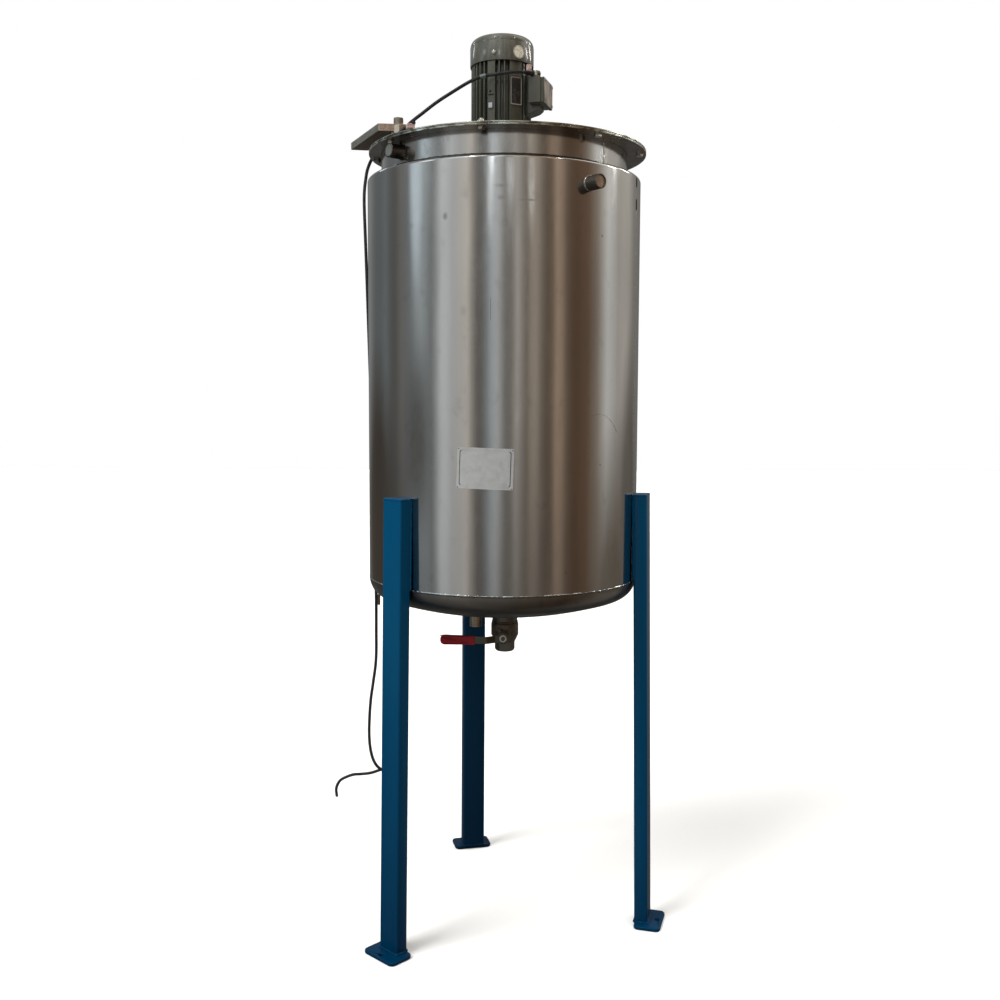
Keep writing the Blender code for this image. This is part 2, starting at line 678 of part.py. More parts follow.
CABLE_ROUTE = (
    (0.0480, -0.0850, 2.3315), (0.0200, -0.0960, 2.3280), (-0.0050, -0.0970, 2.3245),
    (-0.0300, -0.0960, 2.3210), (-0.0570, -0.0960, 2.3170), (-0.0900, -0.1020, 2.3020),
    (-0.1340, -0.1100, 2.2740), (-0.1790, -0.1180, 2.2430), (-0.2190, -0.1270, 2.2100),
    (-0.2450, -0.1340, 2.1880), (-0.2680, -0.1400, 2.1650), (-0.2950, -0.1420, 2.1440),
    (-0.3230, -0.1280, 2.1382), (-0.3430, -0.0960, 2.1378), (-0.3520, -0.0550, 2.1378),
    (-0.3560, -0.0100, 2.1378), (-0.3570, 0.0350, 2.1395), (-0.3630, 0.0720, 2.1450),
    (-0.3780, 0.0960, 2.1380), (-0.3900, 0.1020, 2.1120), (-0.3945, 0.0930, 2.0800),
    (-0.3960, 0.0760, 2.0450), (-0.3945, 0.0600, 2.0000), (-0.3900, 0.0480, 1.9000),
    (-0.3860, 0.0430, 1.7870), (-0.3830, 0.0450, 1.6730), (-0.3795, 0.0560, 1.5000),
    (-0.3765, 0.0690, 1.3300), (-0.3735, 0.0800, 1.1500), (-0.3720, 0.0870, 0.9650),
    (-0.3705, 0.0910, 0.8830), (-0.3710, 0.0940, 0.7940), (-0.3724, 0.0940, 0.6924),
    (-0.3817, 0.0940, 0.6202), (-0.3885, 0.0940, 0.5720), (-0.3930, 0.0940, 0.5056),
    (-0.3933, 0.0940, 0.4571), (-0.3889, 0.0950, 0.4158), (-0.3787, 0.1000, 0.3810),
    (-0.3640, 0.1120, 0.3581), (-0.3451, 0.1310, 0.3455), (-0.3332, 0.1560, 0.3401),
    (-0.3407, 0.1820, 0.3362), (-0.3616, 0.2000, 0.3281), (-0.3847, 0.2060, 0.3183),
    (-0.4060, 0.2060, 0.3119), (-0.4343, 0.2050, 0.3090), (-0.4545, 0.2040, 0.3080),
    (-0.4745, 0.2040, 0.3016), (-0.4971, 0.2040, 0.2889), (-0.5093, 0.2040, 0.2648),
    (-0.5077, 0.2040, 0.2383),
)


def smooth_route(points, spacing):
    """Evenly spaced points read from one smooth curve through the route's points."""
    route = [Vector(p) for p in points]
    dense = []
    for i in range(len(route) - 1):
        before = route[max(i - 1, 0)]
        after = route[min(i + 2, len(route) - 1)]
        step = (route[i + 1] - route[i]).length / 3
        leave = (route[i + 1] - before).normalized() * step
        arrive = (after - route[i]).normalized() * step
        span = interpolate_bezier(route[i], route[i] + leave, route[i + 1] - arrive,
                                  route[i + 1], 24)
        dense += span[:-1]
    dense.append(route[-1])
    even = [dense[0]]
    travelled = 0.0
    for start, end in zip(dense, dense[1:]):
        travelled += (end - start).length
        if travelled >= spacing:
            even.append(end)
            travelled = 0.0
    even[-1] = dense[-1]
    return even


def make_cable():
    start = (GLAND_MOUTH + GLAND_HEADING * 2 * GAP, GLAND_MOUTH + GLAND_HEADING * 0.010)
    points = smooth_route((*start, *CABLE_ROUTE), 0.0335)
    curve = bpy.data.curves.new("power_cable", "CURVE")
    curve.dimensions = "3D"
    curve.bevel_depth = CABLE_D / 2
    curve.bevel_resolution = 2
    curve.use_fill_caps = True
    spline = curve.splines.new("POLY")
    spline.points.add(len(points) - 1)
    for target, point in zip(spline.points, points):
        target.co = (*point, 1.0)
    cable = bpy.data.objects.new("power_cable", curve)
    tank.objects.link(cable)
    settle(cable)
    paint(cable, (0.01, 0.01, 0.012), 0.45, 0.0)


def smooth_round_parts():
    for obj in tank.objects:
        if obj.type == "MESH":
            obj.data.shade_smooth()
            obj.data.set_sharp_from_angle(angle=radians(35.0))


make_vessel()
make_stubs()
make_label()
make_legs()
make_outlet()
make_lever()
make_motor()
make_terminal_box()
make_bracket()
make_cable()
smooth_round_parts()
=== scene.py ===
"""A vertical mixing tank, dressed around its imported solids.

The frame's solids set every place and size. Each section below makes one piece of the tank, from
the camera's set-up and the loose motor lead to the jacket, the lid, the stand, the valve and the motor.
"""
from math import acos, cos, degrees, pi, radians, sin, sqrt

import bpy
from mathutils import Euler, Matrix, Vector
from mathutils.geometry import interpolate_bezier


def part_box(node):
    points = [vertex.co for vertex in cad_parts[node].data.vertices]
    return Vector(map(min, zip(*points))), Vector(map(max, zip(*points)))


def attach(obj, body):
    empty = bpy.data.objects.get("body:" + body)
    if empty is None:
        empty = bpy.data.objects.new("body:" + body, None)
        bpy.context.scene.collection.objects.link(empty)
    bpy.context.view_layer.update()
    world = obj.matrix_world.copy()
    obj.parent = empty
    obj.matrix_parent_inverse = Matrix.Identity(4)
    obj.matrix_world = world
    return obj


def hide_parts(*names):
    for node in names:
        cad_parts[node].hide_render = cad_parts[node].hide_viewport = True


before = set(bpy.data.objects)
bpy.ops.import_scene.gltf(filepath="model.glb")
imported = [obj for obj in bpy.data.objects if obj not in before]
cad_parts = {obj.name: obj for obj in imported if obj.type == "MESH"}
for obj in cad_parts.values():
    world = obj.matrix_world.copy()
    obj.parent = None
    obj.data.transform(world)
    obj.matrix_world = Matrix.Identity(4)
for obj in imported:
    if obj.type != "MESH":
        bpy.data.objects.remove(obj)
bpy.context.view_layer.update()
for obj in bpy.context.selected_objects:
    obj.select_set(False)
bpy.context.view_layer.objects.active = None

# Where the tank stands: the jacket gives the tank's axis, and azimuths are measured about it
# from the front (-Y) towards the right (+X).
jacket_low, jacket_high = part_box("jacket_shell")
AXIS = Vector(((jacket_low[0] + jacket_high[0]) / 2, (jacket_low[1] + jacket_high[1]) / 2, 0.0))


def at(x, y, z):
    return AXIS + Vector((x, y, z))


def lift(height):
    return Vector((0.0, 0.0, height))


def outward(azimuth):
    angle = radians(azimuth)
    return Vector((sin(angle), -cos(angle), 0.0))


def around(azimuth, radius, height, centre=AXIS):
    return centre + outward(azimuth) * radius + lift(height)


def linked(name, data):
    """Puts a new object into the scene."""
    piece = bpy.data.objects.new(name, data)
    bpy.context.scene.collection.objects.link(piece)
    return piece


# Camera. It stands in front of the tank at about the height of its upper third and looks a little
# down, with a moderately long lens.
LOOKS_DOWN = 4.58
LOOKS_LEFT = 0.07
ROLL = 0.21
camera_data = bpy.data.cameras.new("camera")
camera_data.sensor_width = 36.0
camera_data.lens = 39.6
camera_data.shift_y = -0.0109
camera = linked("camera", camera_data)
camera.location = at(-0.0043, -3.101, 1.4556)
view_turn = Euler((radians(90.0 - LOOKS_DOWN), 0.0, radians(LOOKS_LEFT)), "XYZ").to_matrix()
camera.rotation_euler = (view_turn @ Matrix.Rotation(radians(ROLL), 3, "Z")).to_euler()
bpy.context.scene.camera = camera


# Surroundings. The polished jacket shows the room around it as upright bands: pale ones where
# daylight comes in, brown and grey ones where walls and machines stand. The floor is plain.
world = bpy.data.worlds.new("room")
bpy.context.scene.world = world
world.use_nodes = True
sky = world.node_tree
sky.nodes.clear()


def node(tree, kind, values=None, **settings):
    """Adds one shader node, sets its options and fills its inputs with values or links."""
    added = tree.nodes.new("ShaderNode" + kind)
    for key, value in settings.items():
        setattr(added, key, value)
    for key, value in (values or {}).items():
        if isinstance(value, bpy.types.NodeSocket):
            tree.links.new(value, added.inputs[key])
        else:
            added.inputs[key].default_value = value
    return added


def ramp(tree, factor, stops):
    """A colour ramp from (position, grey or colour) stops."""
    added = node(tree, "ValToRGB", {"Fac": factor})
    band = added.color_ramp
    while len(band.elements) < len(stops):
        band.elements.new(0.5)
    for element, (position, tone) in zip(band.elements, stops):
        element.position = position
        element.color = (tone, tone, tone, 1.0) if isinstance(tone, (int, float)) else (*tone, 1.0)
    return added.outputs["Color"]


def maths(tree, operation, first, second=0.0, third=0.0, clamp=False):
    return node(tree, "Math", {0: first, 1: second, 2: third}, operation=operation,
                use_clamp=clamp).outputs[0]


def between(tree, factor, low, high, start=0.35, end=0.65):
    """Maps a pattern's middle range onto two values."""
    return node(tree, "MapRange", {"Value": factor, "From Min": start, "From Max": end,
                                   "To Min": low, "To Max": high}).outputs[0]


def tint(tree, factor, first, second, **settings):
    """Mixes two colours or patterns."""
    first, second = [(*tone, 1.0) if isinstance(tone, tuple) else tone for tone in (first, second)]
    return node(tree, "Mix", {0: factor, 6: first, 7: second}, data_type="RGBA", **settings).outputs[2]


def blend(tree, pattern, first, second, *band):
    """Mixes two colours by a pattern, over the middle range that is given or the usual one."""
    return tint(tree, between(tree, pattern, 0.0, 1.0, *band), first, second)


def spot(tree, place, centre, size, soft):
    """A mask that is 1 inside an ellipsoid round a point and fades out at its rim."""
    offset = node(tree, "VectorMath", {0: place, 1: centre}, operation="SUBTRACT").outputs[0]
    scaled = node(tree, "VectorMath", {0: offset, 1: size}, operation="DIVIDE").outputs[0]
    away = node(tree, "VectorMath", {0: scaled}, operation="LENGTH").outputs["Value"]
    return between(tree, away, 1.0, 0.0, 1.0 - soft, 1.0)


BLUISH = (0.90, 1.0, 1.04)
PALE = (0.96, 1.0, 1.02)
NEUTRAL = (1.0, 0.99, 0.95)
WARM = (1.05, 0.99, 0.90)
TAN = (1.14, 0.97, 0.80)
BROWN = (1.26, 0.94, 0.70)
DEEP_BROWN = (1.42, 0.90, 0.60)
# Direction in degrees from the front, brightness, tint
left_room = (
    (-180, 0.15, NEUTRAL), (-153, 0.24, PALE), (-136, 0.15, PALE), (-125, 0.16, BLUISH),
    (-116, 0.20, BLUISH), (-108, 0.13, PALE), (-101, 0.12, NEUTRAL), (-94, 0.19, NEUTRAL),
    (-88, 0.20, PALE), (-82, 0.26, BLUISH), (-76, 0.42, BLUISH), (-71.5, 0.45, BLUISH), (-66, 0.34, BLUISH),
    (-61, 0.23, PALE), (-57, 0.36, PALE), (-52, 0.68, PALE), (-47.5, 0.67, PALE), (-43, 0.55, PALE),
    (-39, 0.56, NEUTRAL), (-34.5, 0.58, NEUTRAL), (-30, 0.64, WARM), (-26, 0.34, WARM), (-22, 0.165, WARM),
    (-18, 0.16, NEUTRAL), (-13.7, 0.27, PALE), (-9.6, 0.50, BLUISH), (-5.6, 0.56, PALE),
    (-1.5, 0.37, NEUTRAL), (0, 0.28, NEUTRAL),
)
right_room = (
    (0, 0.28, NEUTRAL), (2.5, 0.19, WARM), (6.6, 0.22, WARM), (10.6, 0.48, WARM), (14.7, 0.29, WARM),
    (18.8, 0.175, TAN), (23, 0.33, TAN), (27, 0.33, TAN), (31, 0.18, TAN), (35.5, 0.115, BROWN),
    (40, 0.14, BROWN), (44, 0.33, BROWN), (48.7, 0.27, BROWN), (53, 0.13, BROWN), (58, 0.09, DEEP_BROWN),
    (63, 0.085, DEEP_BROWN), (67.6, 0.10, DEEP_BROWN), (72.7, 0.105, DEEP_BROWN), (78, 0.17, BROWN),
    (83.6, 0.24, TAN), (89.4, 0.43, WARM), (95.7, 0.68, NEUTRAL), (102, 0.58, NEUTRAL), (110, 0.44, WARM),
    (118, 0.48, WARM), (127, 0.46, WARM), (139, 0.24, WARM), (160, 0.17, NEUTRAL), (180, 0.15, NEUTRAL),
)
# Direction and elevation in degrees, half width and half height, colour, cover and softness
room_patches = (
    (-132, -6, 36, 10.5, (0.055, 0.041, 0.029), 0.85, 0.5),
    (-100, -5, 26, 9, (0.090, 0.086, 0.080), 0.50, 0.8),
    (-75, -1, 18, 8, (0.100, 0.100, 0.095), 0.92, 0.7),
    (-76, -12, 20, 8, (0.20, 0.215, 0.22), 0.85, 0.5),
    (-77, 14.5, 8, 7, (0.80, 0.94, 1.04), 0.85, 0.6),
    (106, -11, 38, 12, (0.120, 0.095, 0.070), 0.92, 0.65),
    (133, -4, 24, 9, (0.100, 0.085, 0.072), 0.80, 0.6),
    (18, -11, 46, 11, (0.120, 0.105, 0.090), 0.55, 0.9),
    (5, 16, 4, 2.5, (0.92, 0.93, 0.92), 0.90, 0.35),
    (-11, 15, 3, 3, (0.90, 0.94, 0.96), 0.90, 0.35),
    (22, 15, 3, 2.5, (0.95, 0.93, 0.88), 0.90, 0.35),
    (104, 23, 2.4, 9, (15.0, 14.7, 14.0), 1.0, 0.2),
    (127, 23, 2.4, 9, (11.0, 11.0, 10.5), 1.0, 0.2),
    (-10.3, 22, 2.4, 6, (5.0, 5.3, 5.6), 1.0, 0.3),
    (-68, 24, 8, 7, (2.0, 2.1, 2.2), 1.0, 0.5),
    (-129, 24, 3, 7, (4.0, 4.2, 4.3), 1.0, 0.3),
    (-38, 58, 3.5, 3.5, (26.0, 26.0, 26.0), 1.0, 0.3),
    (62, 52, 3, 3, (20.0, 20.0, 20.0), 1.0, 0.3),
)
aim = node(sky, "TexCoord")
parts = node(sky, "SeparateXYZ", {0: aim.outputs["Generated"]})
flipped = maths(sky, "MULTIPLY", parts.outputs["Y"], -1.0)
turn = maths(sky, "ARCTAN2", parts.outputs["X"], flipped)
halves = []
for stops, start in ((left_room, -180.0), (right_room, 0.0)):
    share = maths(sky, "MULTIPLY_ADD", turn, 1.0 / pi, -start / 180.0, clamp=True)
    halves.append(ramp(sky, share, [((azimuth - start) / 180.0, tuple(level * c for c in tone))
                                    for azimuth, level, tone in stops]))
walls = tint(sky, maths(sky, "GREATER_THAN", turn, 0.0), *halves)
height_share = maths(sky, "MULTIPLY_ADD", parts.outputs["Z"], 0.5, 0.5)
heights = ramp(sky, height_share, ((0.0, 0.25), (0.36, 0.62), (0.43, 0.88), (0.5, 1.0), (0.57, 1.02),
                                   (0.62, 1.15), (0.75, 1.6), (1.0, 2.2)))
lit_walls = tint(sky, 1.0, walls, heights, blend_type="MULTIPLY")
bearing = maths(sky, "MULTIPLY", turn, 180.0 / pi)
rise = maths(sky, "MULTIPLY", maths(sky, "ARCSINE", parts.outputs["Z"]), 180.0 / pi)
sky_place = node(sky, "CombineXYZ", {0: bearing, 1: rise}).outputs[0]
for azimuth, elevation, half_width, half_height, tone, cover, soft in room_patches:
    patch = spot(sky, sky_place, (azimuth, elevation, 0.0), (half_width, half_height, 1.0), soft)
    lit_walls = tint(sky, maths(sky, "MULTIPLY", patch, cover), lit_walls, tone)
seen = node(sky, "LightPath").outputs["Is Camera Ray"]
shown = tint(sky, seen, lit_walls, (1.0, 1.0, 1.0))
glow = node(sky, "Background", {"Color": shown, "Strength": 1.0})
node(sky, "OutputWorld", {"Surface": glow.outputs[0]})

bpy.ops.mesh.primitive_plane_add(size=40.0, location=(0, 0, -0.0005))
floor = bpy.context.object
floor.name = "floor"
floor.visible_glossy = False
floor_paint = bpy.data.materials.new("floor_paint")
floor_paint.use_nodes = True
floor_tree = floor_paint.node_tree
floor_shader = floor_tree.nodes["Principled BSDF"]
seen_directly = node(floor_tree, "LightPath").outputs["Is Camera Ray"]
floor_tree.links.new(tint(floor_tree, seen_directly, (0.30, 0.29, 0.28), (0.88, 0.88, 0.875)),
                     floor_shader.inputs["Base Color"])
floor_shader.inputs["Roughness"].default_value = 0.85
floor.data.materials.append(floor_paint)


def soft_sun(name, comes_from, strength, spread, colour):
    """Daylight from one side, soft because it comes through wide openings."""
    light_data = bpy.data.lights.new(name, "SUN")
    light_data.energy = strength
    light_data.angle = radians(spread)
    light_data.color = colour
    light = linked(name, light_data)
    light.rotation_euler = Vector(comes_from).to_track_quat("Z", "Y").to_euler()
    light.visible_glossy = False


soft_sun("window_light", (-0.75, -0.55, 1.0), 2.4, 25.0, (1.0, 0.99, 0.97))
soft_sun("ceiling_light", (0.05, -0.1, 1.0), 1.7, 70.0, (1.0, 1.0, 1.0))
bpy.context.scene.view_settings.view_transform = "Standard"
bpy.context.scene.view_settings.look = "None"


# Motor lead. A round black rubber cable leaves the motor's gland, lies over the lid's left edge and
# hangs down beside the jacket to a free end that still has its kinks from the coil it came in.
GLAND_MOUTH = at(0.0770, -0.0660, 2.333)
GLAND_HEADING = Vector((-0.8211, -0.5708, 0.0))
LEAD_DIAMETER = 0.009
lead_route = (
    (0.048, -0.085, 2.3315), (0.020, -0.096, 2.3280), (-0.005, -0.097, 2.3245), (-0.030, -0.096, 2.3210),
    (-0.057, -0.096, 2.3170), (-0.090, -0.102, 2.3020), (-0.134, -0.110, 2.2740), (-0.179, -0.118, 2.2430),
    (-0.219, -0.127, 2.2100), (-0.245, -0.134, 2.1880), (-0.268, -0.140, 2.1650), (-0.295, -0.142, 2.1440),
    (-0.323, -0.128, 2.1382), (-0.343, -0.096, 2.1378), (-0.352, -0.055, 2.1378), (-0.356, -0.010, 2.1378),
    (-0.357, 0.035, 2.1395), (-0.363, 0.072, 2.1450), (-0.378, 0.096, 2.1380), (-0.390, 0.102, 2.1120),
    (-0.3945, 0.093, 2.080), (-0.396, 0.076, 2.045), (-0.3945, 0.060, 2.000), (-0.390, 0.048, 1.900),
    (-0.386, 0.043, 1.787), (-0.383, 0.045, 1.673), (-0.3795, 0.056, 1.500), (-0.3765, 0.069, 1.330),
    (-0.3735, 0.080, 1.150), (-0.372, 0.087, 0.965), (-0.3705, 0.091, 0.883), (-0.371, 0.094, 0.794),
    (-0.3724, 0.094, 0.6924), (-0.3817, 0.094, 0.6202), (-0.3885, 0.094, 0.5720), (-0.3930, 0.094, 0.5056),
    (-0.3933, 0.094, 0.4571), (-0.3889, 0.095, 0.4158), (-0.3787, 0.100, 0.3810), (-0.3640, 0.112, 0.3581),
    (-0.3451, 0.131, 0.3455), (-0.3332, 0.156, 0.3401), (-0.3407, 0.182, 0.3362), (-0.3616, 0.200, 0.3281),
    (-0.3847, 0.206, 0.3183), (-0.4060, 0.206, 0.3119), (-0.4343, 0.205, 0.3090), (-0.4545, 0.204, 0.3080),
    (-0.4745, 0.204, 0.3016), (-0.4971, 0.204, 0.2889), (-0.5093, 0.204, 0.2648), (-0.5077, 0.204, 0.2383),
)
lead_start = GLAND_MOUTH + GLAND_HEADING * 0.0006
waypoints = [lead_start, GLAND_MOUTH + GLAND_HEADING * 0.010] + [at(*point) for point in lead_route]
lead_points = []
for i in range(len(waypoints) - 1):
    before = waypoints[max(i - 1, 0)]
    after = waypoints[min(i + 2, len(waypoints) - 1)]
    reach = (waypoints[i + 1] - waypoints[i]).length / 3
    leave = (waypoints[i + 1] - before).normalized() * reach
    arrive = (after - waypoints[i]).normalized() * reach
    span = interpolate_bezier(waypoints[i], waypoints[i] + leave, waypoints[i + 1] - arrive,
                              waypoints[i + 1], 9)
    lead_points += span[:-1]
lead_points.append(waypoints[-1])


def curve_piece(name, lines, closed=False, dimensions="3D", **settings):
    """A curve object that runs straight from point to point."""
    curve = bpy.data.curves.new(name, "CURVE")
    curve.dimensions = dimensions
    for key, value in settings.items():
        setattr(curve, key, value)
    for points in lines:
        line = curve.splines.new("POLY")
        line.points.add(len(points) - 1)
        line.use_cyclic_u = closed
        for point, place in zip(line.points, points):
            point.co = (*place, 1.0)
    return linked(name, curve)


lead = curve_piece("motor_lead", [lead_points], bevel_depth=LEAD_DIAMETER / 2, bevel_resolution=5,
                   use_fill_caps=True)


def plain_material(name, colour, roughness, metallic=0.0):
    """A new material and its parts: the node tree, the shader and the object's own coordinates."""
    material = bpy.data.materials.new(name)
    material.use_nodes = True
    tree = material.node_tree
    shader = tree.nodes["Principled BSDF"]
    shader.inputs["Base Color"].default_value = (*colour, 1.0)
    shader.inputs["Roughness"].default_value = roughness
    shader.inputs["Metallic"].default_value = metallic
    place = node(tree, "TexCoord").outputs["Object"]
    return material, tree, shader, place


def noise(tree, place, scale, detail=4.0, stretch=(1.0, 1.0, 1.0), shift=(0.0, 0.0, 0.0)):
    mapped = node(tree, "Mapping", {"Vector": place, "Scale": stretch, "Location": shift})
    return node(tree, "TexNoise", {"Vector": mapped.outputs[0], "Scale": scale, "Detail": detail,
                                   "Roughness": 0.55}).outputs["Fac"]


def colour_by(tree, shader, pattern):
    tree.links.new(pattern, shader.inputs["Base Color"])


def roughen_by(tree, shader, pattern):
    tree.links.new(pattern, shader.inputs["Roughness"])


def relief(tree, shader, height, distance, strength=1.0):
    bump = node(tree, "Bump", {"Height": height, "Distance": distance, "Strength": strength})
    tree.links.new(bump.outputs[0], shader.inputs["Normal"])


def mottled(name, roughness, low, high, scale, detail=4.0, band=(0.35, 0.65), metallic=0.0,
            sheen=None, grit=None):
    """A material that wavers between two colours; its sheen may waver too, and grit may lie in it."""
    material, tree, shader, place = plain_material(name, low, roughness, metallic)
    blotches = noise(tree, place, scale, detail)
    colour_by(tree, shader, blend(tree, blotches, low, high, *band))
    if sheen:
        roughen_by(tree, shader, between(tree, blotches, *sheen))
    if grit:
        relief(tree, shader, noise(tree, place, *grit[:2]), *grit[2:])
    return material


rubber = mottled("lead_rubber", 0.42, (0.008, 0.008, 0.010), (0.022, 0.022, 0.024), 60.0,
                 sheen=(0.36, 0.55), grit=(400.0, 4.0, 0.0002, 0.4))
lead.data.materials.append(rubber)
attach(lead, "tank")
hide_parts("power_cable")


# Jacket. The outer skin is thin stainless sheet rolled to a cylinder, with one upright weld at the
# right, and a flat ring with a rolled edge closes it on top. It is ground and lightly brushed, and
# has dull marks and small dents where it has been handled.
WALL = 0.003
JACKET_R = 0.375
JACKET_FOOT_Z = 0.965
JACKET_TOP_Z = 2.055
JACKET_EDGE_R = 0.009
COLLAR_R = 0.337
GAP = 0.0003


def pick(piece):
    for other in bpy.context.selected_objects:
        other.select_set(False)
    piece.select_set(True)
    bpy.context.view_layer.objects.active = piece


def spun(name, profile, centre=AXIS, steps=256):
    """A turned piece: its closed outline of (radius, height) points is spun round an upright axis."""
    mesh = bpy.data.meshes.new(name)
    points = [centre + Vector((radius, 0.0, height)) for radius, height in profile]
    following = [(i + 1) % len(profile) for i in range(len(profile))]
    outline = [(i, j) for i, j in enumerate(following) if profile[i][0] or profile[j][0]]
    mesh.from_pydata(points, outline, [])
    piece = linked(name, mesh)
    pick(piece)
    bpy.ops.object.mode_set(mode="EDIT")
    bpy.ops.mesh.select_all(action="SELECT")
    bpy.ops.mesh.spin(steps=steps, angle=2 * pi, center=centre, axis=(0, 0, 1))
    bpy.ops.mesh.remove_doubles(threshold=0.00004)
    bpy.ops.mesh.normals_make_consistent(inside=False)
    bpy.ops.object.mode_set(mode="OBJECT")
    return piece


def rounded(centre, radius, start, end, steps):
    """Points of an arc in a profile, from one angle to another in degrees."""
    angles = [radians(start + (end - start) * i / steps) for i in range(steps + 1)]
    return [(centre[0] + radius * cos(angle), centre[1] + radius * sin(angle)) for angle in angles]


def apply_modifier(piece, kind, **settings):
    """Adds a modifier, sets it and makes its result the piece's own mesh."""
    step = piece.modifiers.new(kind.lower(), kind)
    for key, value in settings.items():
        setattr(step, key, value)
    pick(piece)
    bpy.ops.object.modifier_apply(modifier=step.name)
    return piece


def settle(piece):
    """Puts a piece's place, turn and size into its mesh."""
    pick(piece)
    bpy.ops.object.transform_apply(location=True, rotation=True, scale=True)
    return piece


def finish_piece(piece, material, slot, body="tank", replaced=(), smooth=40.0, flat=False):
    """Puts the piece's place into its mesh, smooths it, gives it its metal or paint and mounts it."""
    settle(piece)
    bpy.ops.object.shade_smooth_by_angle(angle=radians(smooth))
    if flat:
        apply_modifier(piece, "WEIGHTED_NORMAL", keep_sharp=True)
    piece.data.materials.clear()
    piece.data.materials.append(material)
    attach(piece, body)
    if replaced:
        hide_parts(*replaced)
    return piece


def worked_steel(name, colour, roughness, waviness=0.0, smear=0.12, dirt=0.38):
    """Ground stainless steel: upright smears, fine grain and a sheet that isn't quite even."""
    material, tree, shader, place = plain_material(name, colour, roughness, 1.0)
    smears = noise(tree, place, 9.0, 6.0, (1.0, 1.0, 0.22))
    blotches = noise(tree, place, 26.0, 5.0, (1.0, 1.0, 0.7), (3.0, 1.0, 2.0))
    low = tuple(c * (1.0 - smear) for c in colour)
    high = tuple(min(c * (1.0 + smear), 1.0) for c in colour)
    clean = blend(tree, smears, low, high)
    soiled = tuple(c * (1.0 - dirt) for c in colour)
    colour_by(tree, shader, blend(tree, blotches, clean, soiled, 0.60, 0.80))
    grain = noise(tree, place, 260.0, 3.0, (1.0, 1.0, 0.12))
    roughen_by(tree, shader, maths(tree, "ADD", between(tree, blotches, roughness * 0.86, roughness * 1.2),
                                   between(tree, grain, -0.015, 0.02)))
    if waviness:
        swell = noise(tree, place, 5.5, 2.0, (1.0, 1.0, 0.35), (1.3, 0.2, 0.4))
        relief(tree, shader, maths(tree, "MULTIPLY_ADD", grain, 0.004, swell), waviness)
    else:
        relief(tree, shader, grain, 0.00006)
    return material, tree, shader, place


def steel(*values, **settings):
    return worked_steel(*values, **settings)[0]


def current(shader, name):
    """The pattern that feeds one of the shader's inputs."""
    return shader.inputs[name].links[0].from_socket


edge = (JACKET_R - JACKET_EDGE_R, JACKET_TOP_Z - JACKET_EDGE_R)
profile = [(COLLAR_R + GAP, JACKET_TOP_Z), (edge[0] - 0.004, JACKET_TOP_Z)]
profile += rounded(edge, JACKET_EDGE_R, 90.0, 0.0, 10)
profile += [(JACKET_R, JACKET_FOOT_Z + 0.0005), (JACKET_R - WALL, JACKET_FOOT_Z + 0.0005)]
profile += rounded(edge, JACKET_EDGE_R - WALL, 0.0, 90.0, 8)
profile += [(COLLAR_R + GAP, JACKET_TOP_Z - WALL)]
jacket = spun("jacket_skin", profile)
jacket_steel, tree, shader, place = worked_steel("jacket_steel", (0.56, 0.55, 0.535), 0.11, 0.0013, 0.05,
                                                 0.14)
# Azimuth, height, half width, half height, depth of the mark's tone
jacket_marks = (
    (-22.8, 1.909, 0.0085, 0.0120, 0.40), (-39.1, 1.893, 0.0200, 0.0110, 0.10),
    (-1.6, 1.979, 0.0230, 0.0060, 0.22), (-1.2, 1.950, 0.0140, 0.0080, 0.20),
    (0.7, 1.893, 0.0032, 0.0032, 0.60), (41.3, 1.872, 0.0040, 0.0055, 0.65),
    (-15.5, 1.677, 0.0120, 0.0180, 0.12), (25.3, 1.022, 0.0038, 0.0038, 0.60),
    (41.6, 1.293, 0.0036, 0.0036, 0.55), (9.0, 1.945, 0.0300, 0.0040, 0.16),
)
marked = 0.0
for azimuth, height, half_width, half_height, depth in jacket_marks:
    mark = spot(tree, place, around(azimuth, JACKET_R, height), (half_width, half_width, half_height), 0.75)
    marked = maths(tree, "MAXIMUM", marked, maths(tree, "MULTIPLY", mark, depth))
colour_by(tree, shader, tint(tree, marked, current(shader, "Base Color"), (0.055, 0.045, 0.035)))
roughen_by(tree, shader, maths(tree, "MULTIPLY_ADD", marked, 0.35, current(shader, "Roughness")))
finish_piece(jacket, jacket_steel, "stainless", replaced=("jacket_shell", "jacket_shoulder"))


def as_mesh(piece):
    pick(piece)
    bpy.ops.object.convert(target="MESH")
    return bpy.context.object


def strand(name, points, radius, closed=False, scales=()):
    """A round rod along a line of points, thicker or thinner where the scales say so."""
    piece = curve_piece(name, [points], closed, bevel_depth=radius, bevel_resolution=3, use_fill_caps=True)
    for point, scale in zip(piece.data.splines[0].points, scales):
        point.radius = scale
    return as_mesh(piece)


def dotted(points, spacing=0.0025, closed=False):
    """Points every few millimetres along a line of straight runs."""
    ends = points[1:] + points[:1] if closed else points[1:]
    dense = []
    for start, end in zip(points, ends):
        count = max(int((end - start).length / spacing), 1)
        dense += [start.lerp(end, i / count) for i in range(count)]
    return dense if closed else dense + [points[-1]]


def arc_points(radius, height, count, centre=AXIS, start=0.0, end=360.0):
    """Points round an upright axis; a whole round ends one step before its start."""
    extra = 0 if end - start == 360.0 else 1
    return [around(start + (end - start) * i / count, radius, height, centre)
            for i in range(count + extra)]


ripple = bpy.data.textures.new("weld_ripple", "CLOUDS")
ripple.noise_scale = 0.006


def bead(name, points, radius, material, slot, closed=False, swell=0.0016):
    """A hand-laid weld bead, uneven along its length; the same rod also makes a dark strand of painted shade.
    """
    piece = strand(name, points, radius, closed)
    apply_modifier(piece, "DISPLACE", texture=ripple, texture_coords="LOCAL", strength=swell,
                   mid_level=0.6)
    finish_piece(piece, material, slot)


